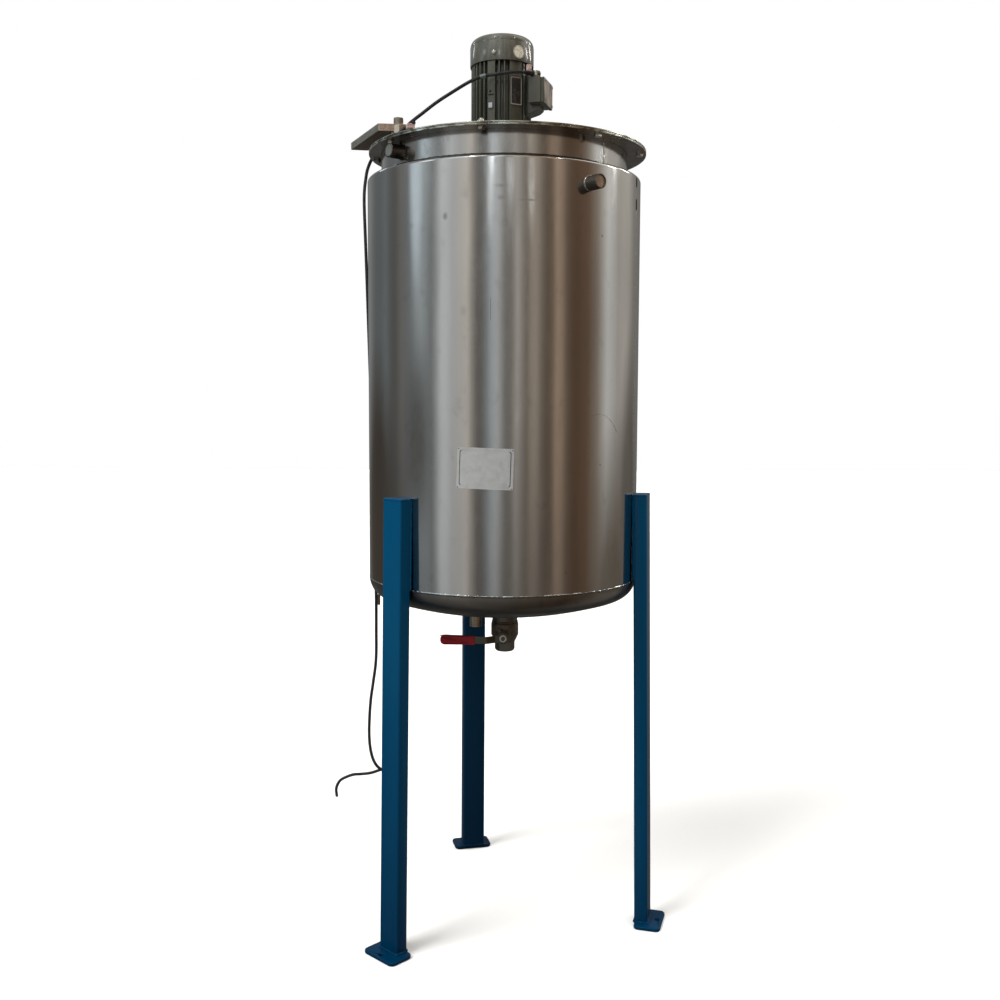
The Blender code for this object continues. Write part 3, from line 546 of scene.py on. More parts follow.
SEAM_AZIMUTH = 69.5
weld_steel = steel("weld_steel", (0.60, 0.58, 0.55), 0.20)
# Dark mottled steel for dark seam lines, and for the painted shade at the collar's foot.
dark_seam_and_painted_shade = mottled("dark_seam_and_painted_shade", 0.6, (0.007, 0.006, 0.005), (0.040, 0.032, 0.026), 140.0, 5.0)
scratch_steel = plain_material("scratch_steel", (0.20, 0.17, 0.14), 0.5, 1.0)[0]
seam_run = [around(SEAM_AZIMUTH, JACKET_R - 0.0002, height)
            for height in (JACKET_FOOT_Z + 0.004, JACKET_TOP_Z - 0.009)]
bead("jacket_seam", dotted(seam_run), 0.0010, weld_steel, "stainless", swell=0.0014)
for i, ends in enumerate(((2.022, 2.046), (1.962, 1.990))):
    dash = dotted([around(SEAM_AZIMUTH, JACKET_R, height) for height in ends])
    finish_piece(strand(f"seam_dash_{i}", dash, 0.0016), dark_seam_and_painted_shade, "dark_stainless")
for name, run in (
        ("long_scratch", ((36.5, 1.417), (40.0, 1.423), (44.0, 1.420), (47.4, 1.408), (50.0, 1.394),
                          (52.0, 1.376))),
        ("upright_scratch", ((-5.0, 1.707), (-5.0, 1.680), (-5.0, 1.654)))):
    line = dotted([around(azimuth, JACKET_R, height) for azimuth, height in run])
    finish_piece(strand(name, line, 0.0004), scratch_steel, "stainless")


# Inner vessel. Its wall shows above the jacket as a collar, with its own upright weld ground flush
# at the right; below, it runs down inside the jacket to an inner dished bottom.
VESSEL_FOOT_Z = 1.0
FLANGE_Z = 2.1232
FLANGE_T = 0.0045
DISH_HOLE_R = 0.0243
profile = [(COLLAR_R, FLANGE_Z + FLANGE_T), (COLLAR_R, VESSEL_FOOT_Z),
           (COLLAR_R - WALL, VESSEL_FOOT_Z), (COLLAR_R - WALL, FLANGE_Z + FLANGE_T)]
collar_steel = steel("collar_steel", (0.56, 0.555, 0.54), 0.15, 0.0024)
finish_piece(spun("vessel_collar", profile), collar_steel, "stainless", replaced=("vessel_wall",))
# Painted shade: a dark ragged bead round the collar's foot stands for the shadow gap at the jacket's top.
bead("collar_painted_shadow", arc_points(COLLAR_R + 0.0010, JACKET_TOP_Z + 0.0056, 480), 0.0045, dark_seam_and_painted_shade,
     "dark_stainless", True, 0.0026)
upright_run = [around(49.3, COLLAR_R - 0.0022, height) for height in (JACKET_TOP_Z + 0.002, FLANGE_Z - 0.001)]
bead("collar_weld", dotted(upright_run), 0.0042, weld_steel, "stainless")


def dish(name, radius, crown_r, knuckle_r, rim_z, steps):
    """A dished end: outer skin from rim to middle hole, then the inner skin back."""
    side = radius - knuckle_r
    crown_z = rim_z + sqrt((crown_r - knuckle_r) ** 2 - side ** 2)
    meet = acos(side / (crown_r - knuckle_r)) * 180.0 / pi
    outline = []
    for crown, knuckle, order in ((crown_r, knuckle_r, 1), (crown_r - WALL, knuckle_r - WALL, -1)):
        hole = acos(DISH_HOLE_R / crown) * 180.0 / pi
        skin = rounded((side, rim_z), knuckle, 0.0, -meet, 10)
        skin += rounded((0.0, crown_z), crown, -meet, -hole, 28)[1:]
        outline += skin[::order]
    return spun(name, outline, steps=steps)


inner_dish = dish("vessel_dish", COLLAR_R, 0.860, 0.030, VESSEL_FOOT_Z - GAP, 128)
finish_piece(inner_dish, collar_steel, "stainless", replaced=("vessel_bottom",))


# Bottom dish. A pressed dished end, welded to the jacket all round by hand: it is duller and darker
# than the jacket, a dark line runs just under the weld, and the bead is uneven and catches the light.
dish_steel = steel("dish_steel", (0.26, 0.235, 0.205), 0.34, 0.003)
bottom = dish("jacket_dish", JACKET_R, 1.100, 0.055, JACKET_FOOT_Z - GAP, 256)
finish_piece(bottom, dish_steel, "dark_stainless", replaced=("jacket_bottom",))
weld_bright = steel("weld_bright", (0.74, 0.78, 0.82), 0.22, smear=0.3)
for i, (start, end, radius) in enumerate(((0, 360, 0.0012), (-38, -14, 0.0026), (0, 4, 0.0022),
                                          (16, 32, 0.0024), (52, 66, 0.0025), (-75, -48, 0.0018),
                                          (90, 250, 0.0020))):
    run = arc_points(JACKET_R - 0.0006, JACKET_FOOT_Z + 0.0012, int((end - start) * 2.2), AXIS, start, end)
    bead(f"dish_weld_{i}", run, radius, weld_bright, "dark_stainless", end - start == 360, 0.0026)
bead("dish_groove", arc_points(JACKET_R - 0.0006, JACKET_FOOT_Z - 0.0018, 480), 0.0013, dark_seam_and_painted_shade,
     "dark_stainless", True, 0.0020)


# Lid and flange. A flat ring is welded round the collar's top, a little off its middle to the right,
# and the plain lid plate is clamped on it by bolts over a thin gasket. Both edges are worn bright.
RIM_R = 0.380
RIM_SHIFT = 0.009
RIM_CENTRE = at(RIM_SHIFT, 0.0, 0.0)
LID_Z = 2.128
LID_TOP_Z = 2.1325
LID_EDGE_R = 0.0012


def facing(tree, heading, start, end, most=1.0):
    """How far a surface faces a heading, from 0 up to most."""
    normal = node(tree, "NewGeometry").outputs["Normal"]
    turned = node(tree, "VectorMath", {0: normal, 1: heading}, operation="DOT_PRODUCT")
    return between(tree, turned.outputs["Value"], 0.0, most, start, end)


rim_steel, tree, shader, place = worked_steel("rim_steel", (0.66, 0.68, 0.60), 0.24, smear=0.30)
wear_and_mouth_highlight = noise(tree, place, 34.0, 6.0, (1.0, 1.0, 3.5))
edge_tone = tint(tree, between(tree, wear_and_mouth_highlight, 0.0, 0.9, 0.46, 0.60), current(shader, "Base Color"),
                 (0.17, 0.14, 0.11))
# Painted shade: faces that point down, such as the flange's underside, are painted dark brown.
underside_painted_shade = facing(tree, (0.0, 0.0, -1.0), 0.80, 0.95)
colour_by(tree, shader, tint(tree, underside_painted_shade, edge_tone, (0.20, 0.165, 0.135)))
profile = [(0.0, LID_TOP_Z), (RIM_R - 0.002, LID_TOP_Z)]
profile += rounded((RIM_R - LID_EDGE_R, LID_TOP_Z - LID_EDGE_R), LID_EDGE_R, 90.0, 0.0, 4)
profile += rounded((RIM_R - LID_EDGE_R, LID_Z + LID_EDGE_R), LID_EDGE_R, 0.0, -90.0, 4)
profile += [(0.0, LID_Z)]
finish_piece(spun("lid_disc", profile, RIM_CENTRE), rim_steel, "stainless", replaced=("lid_plate",))


def ease(piece, width, segments=3):
    """Rounds a piece's sharp edges over."""
    return apply_modifier(piece, "BEVEL", width=width, segments=segments, limit_method="ANGLE",
                          angle_limit=radians(50.0), use_clamp_overlap=False)


def flat_piece(name, outlines, thickness, edge, segments=3):
    """A plate cut to a flat outline, with holes where outlines lie inside it and its edges eased."""
    lines = [[(x, y, 0.0) for x, y in outline] for outline in outlines]
    piece = as_mesh(curve_piece(name, lines, True, "2D", fill_mode="BOTH", extrude=thickness / 2))
    bpy.ops.object.mode_set(mode="EDIT")
    bpy.ops.mesh.select_all(action="SELECT")
    bpy.ops.mesh.remove_doubles(threshold=0.00002)
    bpy.ops.mesh.normals_make_consistent(inside=False)
    bpy.ops.object.mode_set(mode="OBJECT")
    return ease(piece, edge, segments) if edge else piece


def posed(piece, where, turn=(0.0, 0.0, 0.0)):
    piece.location = where
    piece.rotation_euler = turn
    return piece


def ring_of(radius, middle=(0.0, 0.0), steps=256):
    return [(middle[0] + radius * cos(2 * pi * i / steps), middle[1] + radius * sin(2 * pi * i / steps))
            for i in range(steps)]


flange = flat_piece("rim_flange", [ring_of(RIM_R, (RIM_SHIFT, 0.0)), ring_of(COLLAR_R + 0.0006)],
                    FLANGE_T, 0.0008)
finish_piece(posed(flange, at(0, 0, FLANGE_Z + FLANGE_T / 2)), rim_steel, "stainless",
             replaced=("vessel_flange",), flat=True)


# Lid bolts. Eight bolts clamp the lid: each has a low head on top of the lid, one a bright domed cap
# nut, and a plain hexagon nut under the flange. They are plated steel and have gone dull in places.
ORIGIN = Vector((0.0, 0.0, 0.0))
BOLT_CIRCLE_R = 0.363
DOMED_AZIMUTH = -10.5
plated_steel = steel("plated_steel", (0.66, 0.64, 0.58), 0.24)
dark_plated = steel("dark_plated", (0.36, 0.33, 0.29), 0.36)


def discard(*pieces):
    for piece in pieces:
        bpy.data.objects.remove(piece, do_unlink=True)


def cut(piece, tool, operation="DIFFERENCE"):
    """Cuts a piece with a tool, or keeps only what lies inside it, and removes the tool."""
    apply_modifier(piece, "BOOLEAN", operation=operation, object=tool, solver="EXACT")
    discard(tool)
    return piece


def rod(name, radius, start, end, sides, edge=0.0):
    """A straight round bar between two points."""
    run = Vector(end) - Vector(start)
    bpy.ops.mesh.primitive_cylinder_add(vertices=sides, radius=radius, depth=run.length,
                                        location=(Vector(end) + Vector(start)) / 2,
                                        rotation=run.to_track_quat("Z", "Y").to_euler())
    piece = bpy.context.object
    piece.name = name
    return ease(piece, edge) if edge else piece


def hexagon(name, radius, height, chamfer=0.0012):
    """A hexagon nut standing at the origin, turned down at its corners."""
    nut = rod(name, radius, (0, 0, 0), (0, 0, height), 6)
    barrel = [(0.0, 0.0), (radius * 0.89, 0.0), (radius, chamfer), (radius, height - chamfer),
              (radius * 0.89, height), (0.0, height)]
    return settle(cut(nut, spun(name + "_barrel", barrel, ORIGIN, 48), "INTERSECT"))


def placed(piece, where, heading=Vector((0, 0, 1)), roll=0.0):
    """Stands a piece made upright at the origin at a point, with its axis along a heading."""
    turn = heading.to_track_quat("Z", "Y").to_matrix() @ Matrix.Rotation(radians(roll), 3, "Z")
    return posed(piece, where, turn.to_euler())


def twin(piece, name):
    """A copy of a piece with its own mesh."""
    other = piece.copy()
    other.data = piece.data.copy()
    other.name = name
    bpy.context.scene.collection.objects.link(other)
    return other


dome = [(0.0, 0.0), (0.0074, 0.0), (0.0074, 0.0010)] + rounded((0.0, 0.0010), 0.0074, 0.0, 90.0, 8)[1:]
cap_base = hexagon("lid_cap_nut", 0.0098, 0.0042)
cap_dome = spun("lid_cap_dome", dome, ORIGIN, 32)
low_head = hexagon("lid_low_head", 0.0094, 0.0030)
lower_nut = hexagon("lid_lower_nut", 0.0098, 0.0078)
for number, azimuth in enumerate((-94.3, -56.2, DOMED_AZIMUTH, 38.4, 79.6, 125.0, 170.0, 215.0)):
    spot_on_lid = RIM_CENTRE + outward(azimuth) * BOLT_CIRCLE_R
    parts = [(low_head, LID_TOP_Z - 0.0002, dark_plated)]
    if azimuth == DOMED_AZIMUTH:
        parts = [(cap_base, LID_TOP_Z - 0.0002, plated_steel), (cap_dome, LID_TOP_Z + 0.0030, plated_steel)]
    parts.append((lower_nut, FLANGE_Z - 0.0076, plated_steel if azimuth > 0 else dark_plated))
    for part, height, finish in parts:
        copy = twin(part, f"{part.name}_{number}")
        finish_piece(placed(copy, spot_on_lid + lift(height), roll=azimuth + 12.0 * number), finish,
                     "stainless", smooth=30.0)
discard(cap_base, cap_dome, low_head, lower_nut)


# Side stubs. A short closed pipe stands out of the collar at the left, and a threaded socket with a
# plug stands out of the jacket at the right. Both are thick stainless pipe with a weld bead at the foot.
def stub(name, azimuth, height, root_r, end_r, pipe_r, plug_material, plug_depth, weld, node_name):
    out = outward(azimuth)
    foot = AXIS + lift(height) + out * root_r
    length = end_r - root_r
    bore = pipe_r * 0.80
    profile = [(pipe_r, 0.0), (pipe_r, length - 0.0010), (pipe_r - 0.0010, length),
               (bore + 0.0008, length), (bore, length - 0.0008), (bore, 0.0)]
    pipe = placed(spun(name, profile, ORIGIN, 64), foot, out)
    finish_piece(pipe, stub_steel, "stainless", replaced=(node_name,))
    plug = rod(name + "_plug", bore + 0.0002, foot, foot + out * (length - plug_depth), 64, 0.0006)
    finish_piece(plug, plug_material, "stainless", flat=True)
    side = outward(azimuth + 90.0)
    ring = [foot + (side * cos(radians(a)) + lift(1) * sin(radians(a))) * (pipe_r + 0.0004)
            for a in range(0, 360, 6)]
    ring = [p + out * (root_r - (p - AXIS).xy.length + 0.0006) for p in ring]
    bead(name + "_weld", ring, 0.0019, weld, "stainless", True, 0.0014)


stub_steel = steel("stub_steel", (0.20, 0.18, 0.155), 0.30)
plug_grey = steel("plug_grey", (0.64, 0.67, 0.64), 0.42)
plug_brown = steel("plug_brown", (0.50, 0.38, 0.29), 0.45, smear=0.35)
stub("collar_stub", -51.0, 2.0917, COLLAR_R + GAP, 0.380, 0.018, plug_grey, 0.0006, dark_seam_and_painted_shade,
     "collar_nozzle")
stub("socket_stub", 35.0, 1.9970, JACKET_R + GAP, 0.415, 0.0185, plug_brown, 0.0022, weld_steel,
     "jacket_socket")


# Label plate. A thin printed aluminium plate is riveted on the jacket's front and left blank: an
# off-white field inside a dark line with round corners, a rivet in each corner, hung a little askew.
LABEL_AZIMUTH = -7.0
LABEL_Z = 1.2877
LABEL_W = 0.143
LABEL_H = 0.103
LABEL_ROLL = radians(1.9)
BORDER_INSET = 0.0060
BORDER_LINE = 0.0021
RIVET_R = 0.0019
RIVET_INSET = 0.0032
CORNERS = ((-1, -1), (1, -1), (1, 1), (-1, 1))


def wrap(piece, centre, radius, azimuth, height, roll=0.0):
    """Lays a flat piece (x to the right, y up, z outwards) round an upright cylinder, rolled clockwise."""
    for vertex in piece.data.vertices:
        right, up, away = Matrix.Rotation(-roll, 3, "Z") @ vertex.co
        vertex.co = (centre + outward(azimuth + degrees(right / radius)) * (radius + away)
                     + lift(height + up))
    return piece


def on_label(piece, proud, material, slot="label", replaced=()):
    """Wraps a flat piece round the jacket at the label's place."""
    wrap(piece, AXIS, JACKET_R + GAP + proud, LABEL_AZIMUTH, LABEL_Z, LABEL_ROLL)
    finish_piece(piece, material, slot, replaced=replaced)


def rounded_box(width, depth, radius, steps=6):
    """The outline of a rectangle with round corners."""
    outline = []
    for side_x, side_y, start in ((1, 1, 0), (-1, 1, 90), (-1, -1, 180), (1, -1, 270)):
        corner = (side_x * (width / 2 - radius), side_y * (depth / 2 - radius))
        outline += rounded(corner, radius, start, start + 90.0, steps)
    return outline


def dense_box(inset):
    """The label's outline, inset, with points all along it, so that it can be wrapped."""
    corners = rounded_box(LABEL_W - 2 * inset, LABEL_H - 2 * inset, 0.010 - inset / 2)
    return [(p.x, p.y) for p in dotted([Vector((x, y, 0.0)) for x, y in corners], 0.004, True)]


label_white = mottled("label_white", 0.38, (0.360, 0.370, 0.370), (0.29, 0.295, 0.30), 45.0, 5.0, (0.4, 0.75))
print_dark = mottled("print_dark", 0.45, (0.050, 0.055, 0.052), (0.15, 0.155, 0.15), 150.0, band=(0.5, 0.8))
bpy.ops.mesh.primitive_grid_add(x_subdivisions=28, y_subdivisions=4, size=1.0)
label = bpy.context.object
label.name = "label_sheet"
label.scale = (LABEL_W, LABEL_H, 1.0)
apply_modifier(settle(label), "SOLIDIFY", thickness=0.0008, offset=1.0)
on_label(label, 0.0, label_white, replaced=("label_plate",))
border = flat_piece("label_border", [dense_box(BORDER_INSET), dense_box(BORDER_INSET + BORDER_LINE)],
                    0.0002, 0.0)
on_label(border, 0.0008, print_dark)
rivet = spun("label_rivet", [(0.0, 0.0), (RIVET_R, 0.0)] + rounded((0.0, 0.0), RIVET_R, 0.0, 90.0, 5)[1:],
             ORIGIN, 20)
for number, (right, up) in enumerate(CORNERS):
    pin = twin(rivet, f"label_rivet_{number}")
    pin.location = (right * (LABEL_W / 2 - RIVET_INSET), up * (LABEL_H / 2 - RIVET_INSET), 0.0)
    on_label(settle(pin), 0.0007, plated_steel, "stainless")
discard(rivet)


# Stand. Three legs of rectangular steel tube lean out a little and carry the tank by its jacket. Each
# has a welded cap, a foot plate with one open anchor hole and hand-laid weld beads, and all of it is
# coated in thick glossy blue enamel, painted lighter near the top and darker towards the feet, and
# darker on the back leg, as painted light and shade.
LEG_W = 0.070
LEG_D = 0.037
LEG_CORNER_R = 0.006
LEG_TOP_Z = 1.205
LEG_LEAN = radians(0.9)
CAP_T = 0.003
FOOT_T = 0.010
FOOT_R = 0.432

enamel, tree, shader, place = plain_material("blue_enamel", (0.0, 0.045, 0.11), 0.20)
across_tank = node(tree, "SeparateXYZ", {0: place})
runs = noise(tree, place, 6.0, 4.0, (1.0, 1.0, 0.25))
# Painted light and shade: the enamel is made lighter up the legs and darker towards the feet.
height_painted_light = maths(tree, "MULTIPLY_ADD", across_tank.outputs["Z"], 0.85, -0.20)
base = tint(tree, maths(tree, "MULTIPLY_ADD", runs, 0.5, height_painted_light, clamp=True), (0.0, 0.021, 0.056),
            (0.0, 0.056, 0.132))
scuffs = noise(tree, place, 55.0, 6.0, (1.0, 1.0, 0.6))
base = tint(tree, between(tree, scuffs, 0.0, 0.5, 0.66, 0.80), base, (0.001, 0.075, 0.152))
# Painted shade: the back leg's enamel is darkened for the less light it gets.
back_leg_painted_shade = between(tree, across_tank.outputs["Y"], 0.0, 0.62, 0.10, 0.22)
colour_by(tree, shader, tint(tree, back_leg_painted_shade, base, (0.0, 0.008, 0.022)))
roughen_by(tree, shader, between(tree, runs, 0.10, 0.20))
shader.inputs["Specular IOR Level"].default_value = 0.14
relief(tree, shader, noise(tree, place, 70.0, 3.0), 0.00035, 0.6)

for side, azimuth in (("left", -43.8), ("right", 74.0), ("back", 193.2)):
    out = outward(azimuth)
    across = outward(azimuth + 90.0)
    lean = (0.0, -LEG_LEAN, radians(azimuth - 90.0))
    up = Vector((-sin(LEG_LEAN) * out.x, -sin(LEG_LEAN) * out.y, cos(LEG_LEAN)))
    top = around(azimuth, JACKET_R + GAP + LEG_D / 2, LEG_TOP_Z)
    leg_length = (LEG_TOP_Z - CAP_T - FOOT_T - 3 * GAP) / cos(LEG_LEAN)
    tube = [rounded_box(LEG_D, LEG_W, LEG_CORNER_R),
            rounded_box(LEG_D - 2 * WALL, LEG_W - 2 * WALL, LEG_CORNER_R - WALL)]
    leg = posed(flat_piece("stand_leg_" + side, tube, leg_length, 0.0),
                top - up * (CAP_T + GAP + leg_length / 2), lean)
    finish_piece(leg, enamel, "blue_enamel", replaced=("leg_" + side,), smooth=30.0)
    cap = posed(flat_piece("stand_cap_" + side, tube[:1], CAP_T, 0.0010), top - up * CAP_T / 2, lean)
    finish_piece(cap, enamel, "blue_enamel", replaced=("leg_cap_" + side,), flat=True)
    plate = flat_piece("stand_foot_" + side, [rounded_box(0.074, 0.117, 0.014),
                                              ring_of(0.007, (0.022, 0.0), 40)], FOOT_T, 0.0030)
    posed(plate, around(azimuth, FOOT_R, FOOT_T / 2), (0.0, 0.0, radians(azimuth - 90.0)))
    finish_piece(plate, enamel, "blue_enamel", replaced=("foot_plate_" + side,), flat=True)

    def leg_point(outwards, sideways, down):
        return top + out * outwards + across * sideways - up * down

    rim_line = [leg_point(x, y, CAP_T + 0.0002) for x, y in rounded_box(LEG_D, LEG_W, 0.006, 3)]
    bead(f"cap_weld_{side}", dotted(rim_line, closed=True), 0.0014, enamel, "blue_enamel", True)
    for hand, mark in ((-1, "a"), (1, "b")):
        edge_line = [leg_point(-LEG_D / 2 + 0.0006, hand * (LEG_W / 2 - 0.0008), down)
                     for down in (0.004, LEG_TOP_Z - JACKET_FOOT_Z - 0.004)]
        bead(f"side_weld_{side}_{mark}", dotted(edge_line), 0.0030, enamel, "blue_enamel", swell=0.0028)
    foot_line = [leg_point(x, y, LEG_TOP_Z - FOOT_T - 0.0010) for x, y in
                 rounded_box(LEG_D + 0.001, LEG_W + 0.001, 0.006, 3)]
    bead(f"foot_weld_{side}", dotted(foot_line, closed=True), 0.0036, enamel, "blue_enamel", True, 0.0024)


# Outlet. A short stainless pipe comes through both dished ends and is welded to the outer one. Left
# of it hangs a short open drain nipple, whose mouth has a painted highlight along its bottom rim.
OUTLET_AT = at(0.007, 0.0, 0.0)
OUTLET_TOP_Z = 0.9135
OUTLET_FOOT_Z = 0.833
OUTLET_R = 0.0355
OUTLET_BORE_R = 0.026
outlet_steel = steel("outlet_steel", (0.17, 0.15, 0.125), 0.40)
pipe = spun("outlet_tube", [(OUTLET_R, OUTLET_TOP_Z), (OUTLET_R, OUTLET_FOOT_Z),
                            (OUTLET_BORE_R, OUTLET_FOOT_Z), (OUTLET_BORE_R, OUTLET_TOP_Z)], OUTLET_AT, 96)
finish_piece(pipe, outlet_steel, "stainless", replaced=("outlet_pipe",))
bead("outlet_weld", arc_points(0.0362, 0.8588, 90, OUTLET_AT), 0.0024, dish_steel, "dark_stainless", True,
     0.0022)
nipple_centre = at(-0.075, -0.030, 0.0)
nipple_steel, tree, shader, place = worked_steel("nipple_steel", (0.46, 0.39, 0.29), 0.22)
# Painted highlight: the bottom 2 mm of the nipple's mouth is painted pale as a bright rim.
wear_and_mouth_highlight = between(tree, node(tree, "SeparateXYZ", {0: place}).outputs["Z"], 1.0, 0.0, 0.8222, 0.8240)
colour_by(tree, shader, tint(tree, wear_and_mouth_highlight, current(shader, "Base Color"), (0.72, 0.66, 0.50)))
mouth = rounded((0.0160, 0.8220), 0.0010, 0.0, -90.0, 3) + rounded((0.0140, 0.8220), 0.0010, -90.0, -180.0, 3)
nipple = spun("drain_stub", [(0.0170, 0.8640)] + mouth + [(0.0130, 0.8640)], nipple_centre, 48)
finish_piece(nipple, nipple_steel, "dark_stainless", replaced=("drain_nipple",))
bead("nipple_weld", arc_points(0.0175, 0.8618, 45, nipple_centre), 0.0018, dish_steel, "dark_stainless", True)


# Ball valve. The body is one steel casting, dark brown and rough: a ringed barrel that tapers to a
# hexagon end with a threaded mouth, and a round boss for the stem. It hangs turned a few degrees.
VALVE = Matrix.Translation(OUTLET_AT) @ Matrix.Rotation(radians(-5.0), 4, "Z")
STEM = Vector((0.0, 0.0, 0.7910))
TO_FRONT = Vector((0.0, -1.0, 0.0))
STEM_R = 0.0060
STEM_HOLE_R = 0.0063
END_R = 0.0284
END_Z = 0.745
cast = mottled("valve_casting", 0.42, (0.078, 0.067, 0.050), (0.165, 0.130, 0.096), 75.0, 6.0,
               metallic=0.75, sheen=(0.34, 0.52), grit=(420.0, 4.0, 0.0003, 0.7))


def on_valve(piece, *look, **settings):
    """Moves a piece from the valve's own frame, where the stem points to -Y, and finishes it there."""
    piece.matrix_basis = VALVE @ piece.matrix_basis
    finish_piece(piece, *look, **settings)


def stem_at(forward):
    return STEM + TO_FRONT * forward


def block(name, size, centre, turn=0.0):
    """A sharp block whose size isn't yet in its mesh."""
    bpy.ops.mesh.primitive_cube_add(size=1.0, location=centre, rotation=(0, 0, turn))
    piece = bpy.context.object
    piece.name = name
    piece.scale = size
    return piece


barrel = [(0.0, 0.8327), (0.0362, 0.8327), (0.0371, 0.8319), (0.0371, 0.8292), (0.0360, 0.8284),
          (0.0378, 0.8268), (0.0388, 0.8228)]
barrel += rounded((0.0356, 0.7935), 0.0034, 0.0, -50.0, 5)
barrel += [(0.0306, 0.7752), (0.0292, 0.7735), (0.0288, 0.7722), (0.0, 0.7722)]
on_valve(spun("valve_casting", barrel, ORIGIN, 96), cast, "dark_stainless", replaced=("valve_body",))
end = rod("valve_hexagon", END_R, (0, 0, END_Z), (0, 0, 0.7735), 6)
pick(end)
bpy.ops.transform.rotate(value=radians(27.0), orient_axis="Z", center_override=(0.0, 0.0, 0.0))
end_cup = [(0.0, 0.80), (END_R, 0.80)] + rounded((0.0194, 0.754), 0.009, 0.0, -90.0, 8) + [(0.0, END_Z)]
cut(end, spun("end_cup", end_cup, ORIGIN, 64), "INTERSECT")
cut(end, rod("end_thread", 0.0205, (0, 0, 0.735), (0, 0, 0.763), 48))
hexagon_steel = steel("hexagon_steel", (0.175, 0.162, 0.135), 0.30)
on_valve(ease(end, 0.0012), hexagon_steel, "dark_stainless", flat=True)
on_valve(rod("valve_boss", 0.0195, stem_at(0.022), stem_at(0.0445), 64, 0.0016), cast, "dark_stainless",
         flat=True)
stop = block("valve_stop", (0.0070, 0.0080, 0.0090), (-0.0105, -0.0452, 0.8110))
on_valve(ease(stop, 0.0012), cast, "dark_stainless", flat=True)


# Valve lever. A flat zinc-plated strip is joggled outwards past the body, its round hub sits under a
# chamfered nut on the stem, and its free end is dipped in thick glossy red vinyl.
LEVER_Y = -0.0515
LEVER_OUTER_Y = -0.0685
LEVER_T = 0.003
LEVER_Z = 0.7870
GRIP_START_X = -0.0785
GRIP_END_X = -0.1640
lever_steel = steel("lever_steel", (0.135, 0.128, 0.095), 0.36, smear=0.2)
hub_steel = steel("hub_steel", (0.15, 0.125, 0.10), 0.34)
path = [(0.0, LEVER_Y), (-0.0215, LEVER_Y), (-0.0245, LEVER_Y - 0.0010), (-0.0435, LEVER_OUTER_Y + 0.0010),
        (-0.0465, LEVER_OUTER_Y), (-0.0985, LEVER_OUTER_Y)]
strip = [(x, y + LEVER_T / 2) for x, y in path] + [(x, y - LEVER_T / 2) for x, y in path[::-1]]
arm = posed(flat_piece("lever_strip", [strip], 0.0205, 0.0006, 2), (0.0, 0.0, LEVER_Z))
cut(arm, rod("stem_hole", STEM_HOLE_R, stem_at(0.040), stem_at(0.060), 32))
on_valve(arm, lever_steel, "plated_steel", "lever", ("lever_arm",), 30.0, True)
hub_face = STEM + TO_FRONT * (-LEVER_Y + LEVER_T / 2 + 0.0001)
hub = spun("lever_hub", [(STEM_HOLE_R, 0.0), (0.0155, 0.0), (0.0155, 0.0024), (0.0148, 0.0031),
                         (STEM_HOLE_R, 0.0031)], ORIGIN, 64)
on_valve(placed(hub, hub_face - TO_FRONT * 0.0031, TO_FRONT), hub_steel, "plated_steel", "lever")
nut = hexagon("stem_nut", 0.0110, 0.0078, 0.0016)
on_valve(placed(nut, hub_face + TO_FRONT * 0.0002, TO_FRONT, 10.0), plated_steel, "plated_steel", "lever",
         ("lever_nut",), 30.0)
stem_end = [(0.0, 0.0), (STEM_R, 0.0), (STEM_R, 0.0104)] + rounded((0.0048, 0.0104), 0.0012, 0.0, 90.0, 3)[1:]
stem = placed(spun("stem_end", stem_end + [(0.0, 0.0110)], ORIGIN, 32), hub_face, TO_FRONT)
on_valve(stem, hub_steel, "plated_steel", "lever")
on_valve(rod("stem_neck", STEM_R, stem_at(0.0448), hub_face, 32), hub_steel, "plated_steel", "lever")

vinyl = mottled("red_vinyl", 0.22, (0.235, 0.0010, 0.007), (0.33, 0.002, 0.011), 60.0,
                grit=(160.0, 2.0, 0.0003, 0.5))
vinyl_shader = vinyl.node_tree.nodes["Principled BSDF"]
vinyl_shader.inputs["Specular IOR Level"].default_value = 0.35
vinyl_shader.inputs["Coat Weight"].default_value = 0.15
sleeve_outline = [(GRIP_START_X, 0.0127), (GRIP_START_X, -0.0127)]
sleeve_outline += rounded((GRIP_END_X, -0.0018), 0.012, -90.0, -180.0, 8)
sleeve_outline += rounded((GRIP_END_X, 0.0018), 0.012, 180.0, 90.0, 8)
sleeve = posed(flat_piece("lever_grip", [sleeve_outline[::-1]], 0.011, 0.0032, 4),
               (0.0, LEVER_OUTER_Y, LEVER_Z), (radians(90.0), 0.0, 0.0))
on_valve(sleeve, vinyl, "lever_plastic", "lever", ("lever_sleeve",), 50.0, True)


# Motor. A cast flange-mounted motor stands upright on the lid: upright cooling fins all round, flat
# pads for its feet, and a pressed steel cowl over the fan. All of it is sprayed olive grey, semi-gloss.
MOTOR_AT = at(-0.007, 0.0, 0.0)
FIN_TIP_R = 0.084
FIN_ROOT_R = 0.069
FIN_STEP = 10.0
FIN_HALF = 1.25
BOX_AZIMUTH = 73.2
PLATE_AZIMUTH = 27.5
PLATE_HALF = 12.5
PAD_AZIMUTH = -20.0
PAD_HALF = 7.5


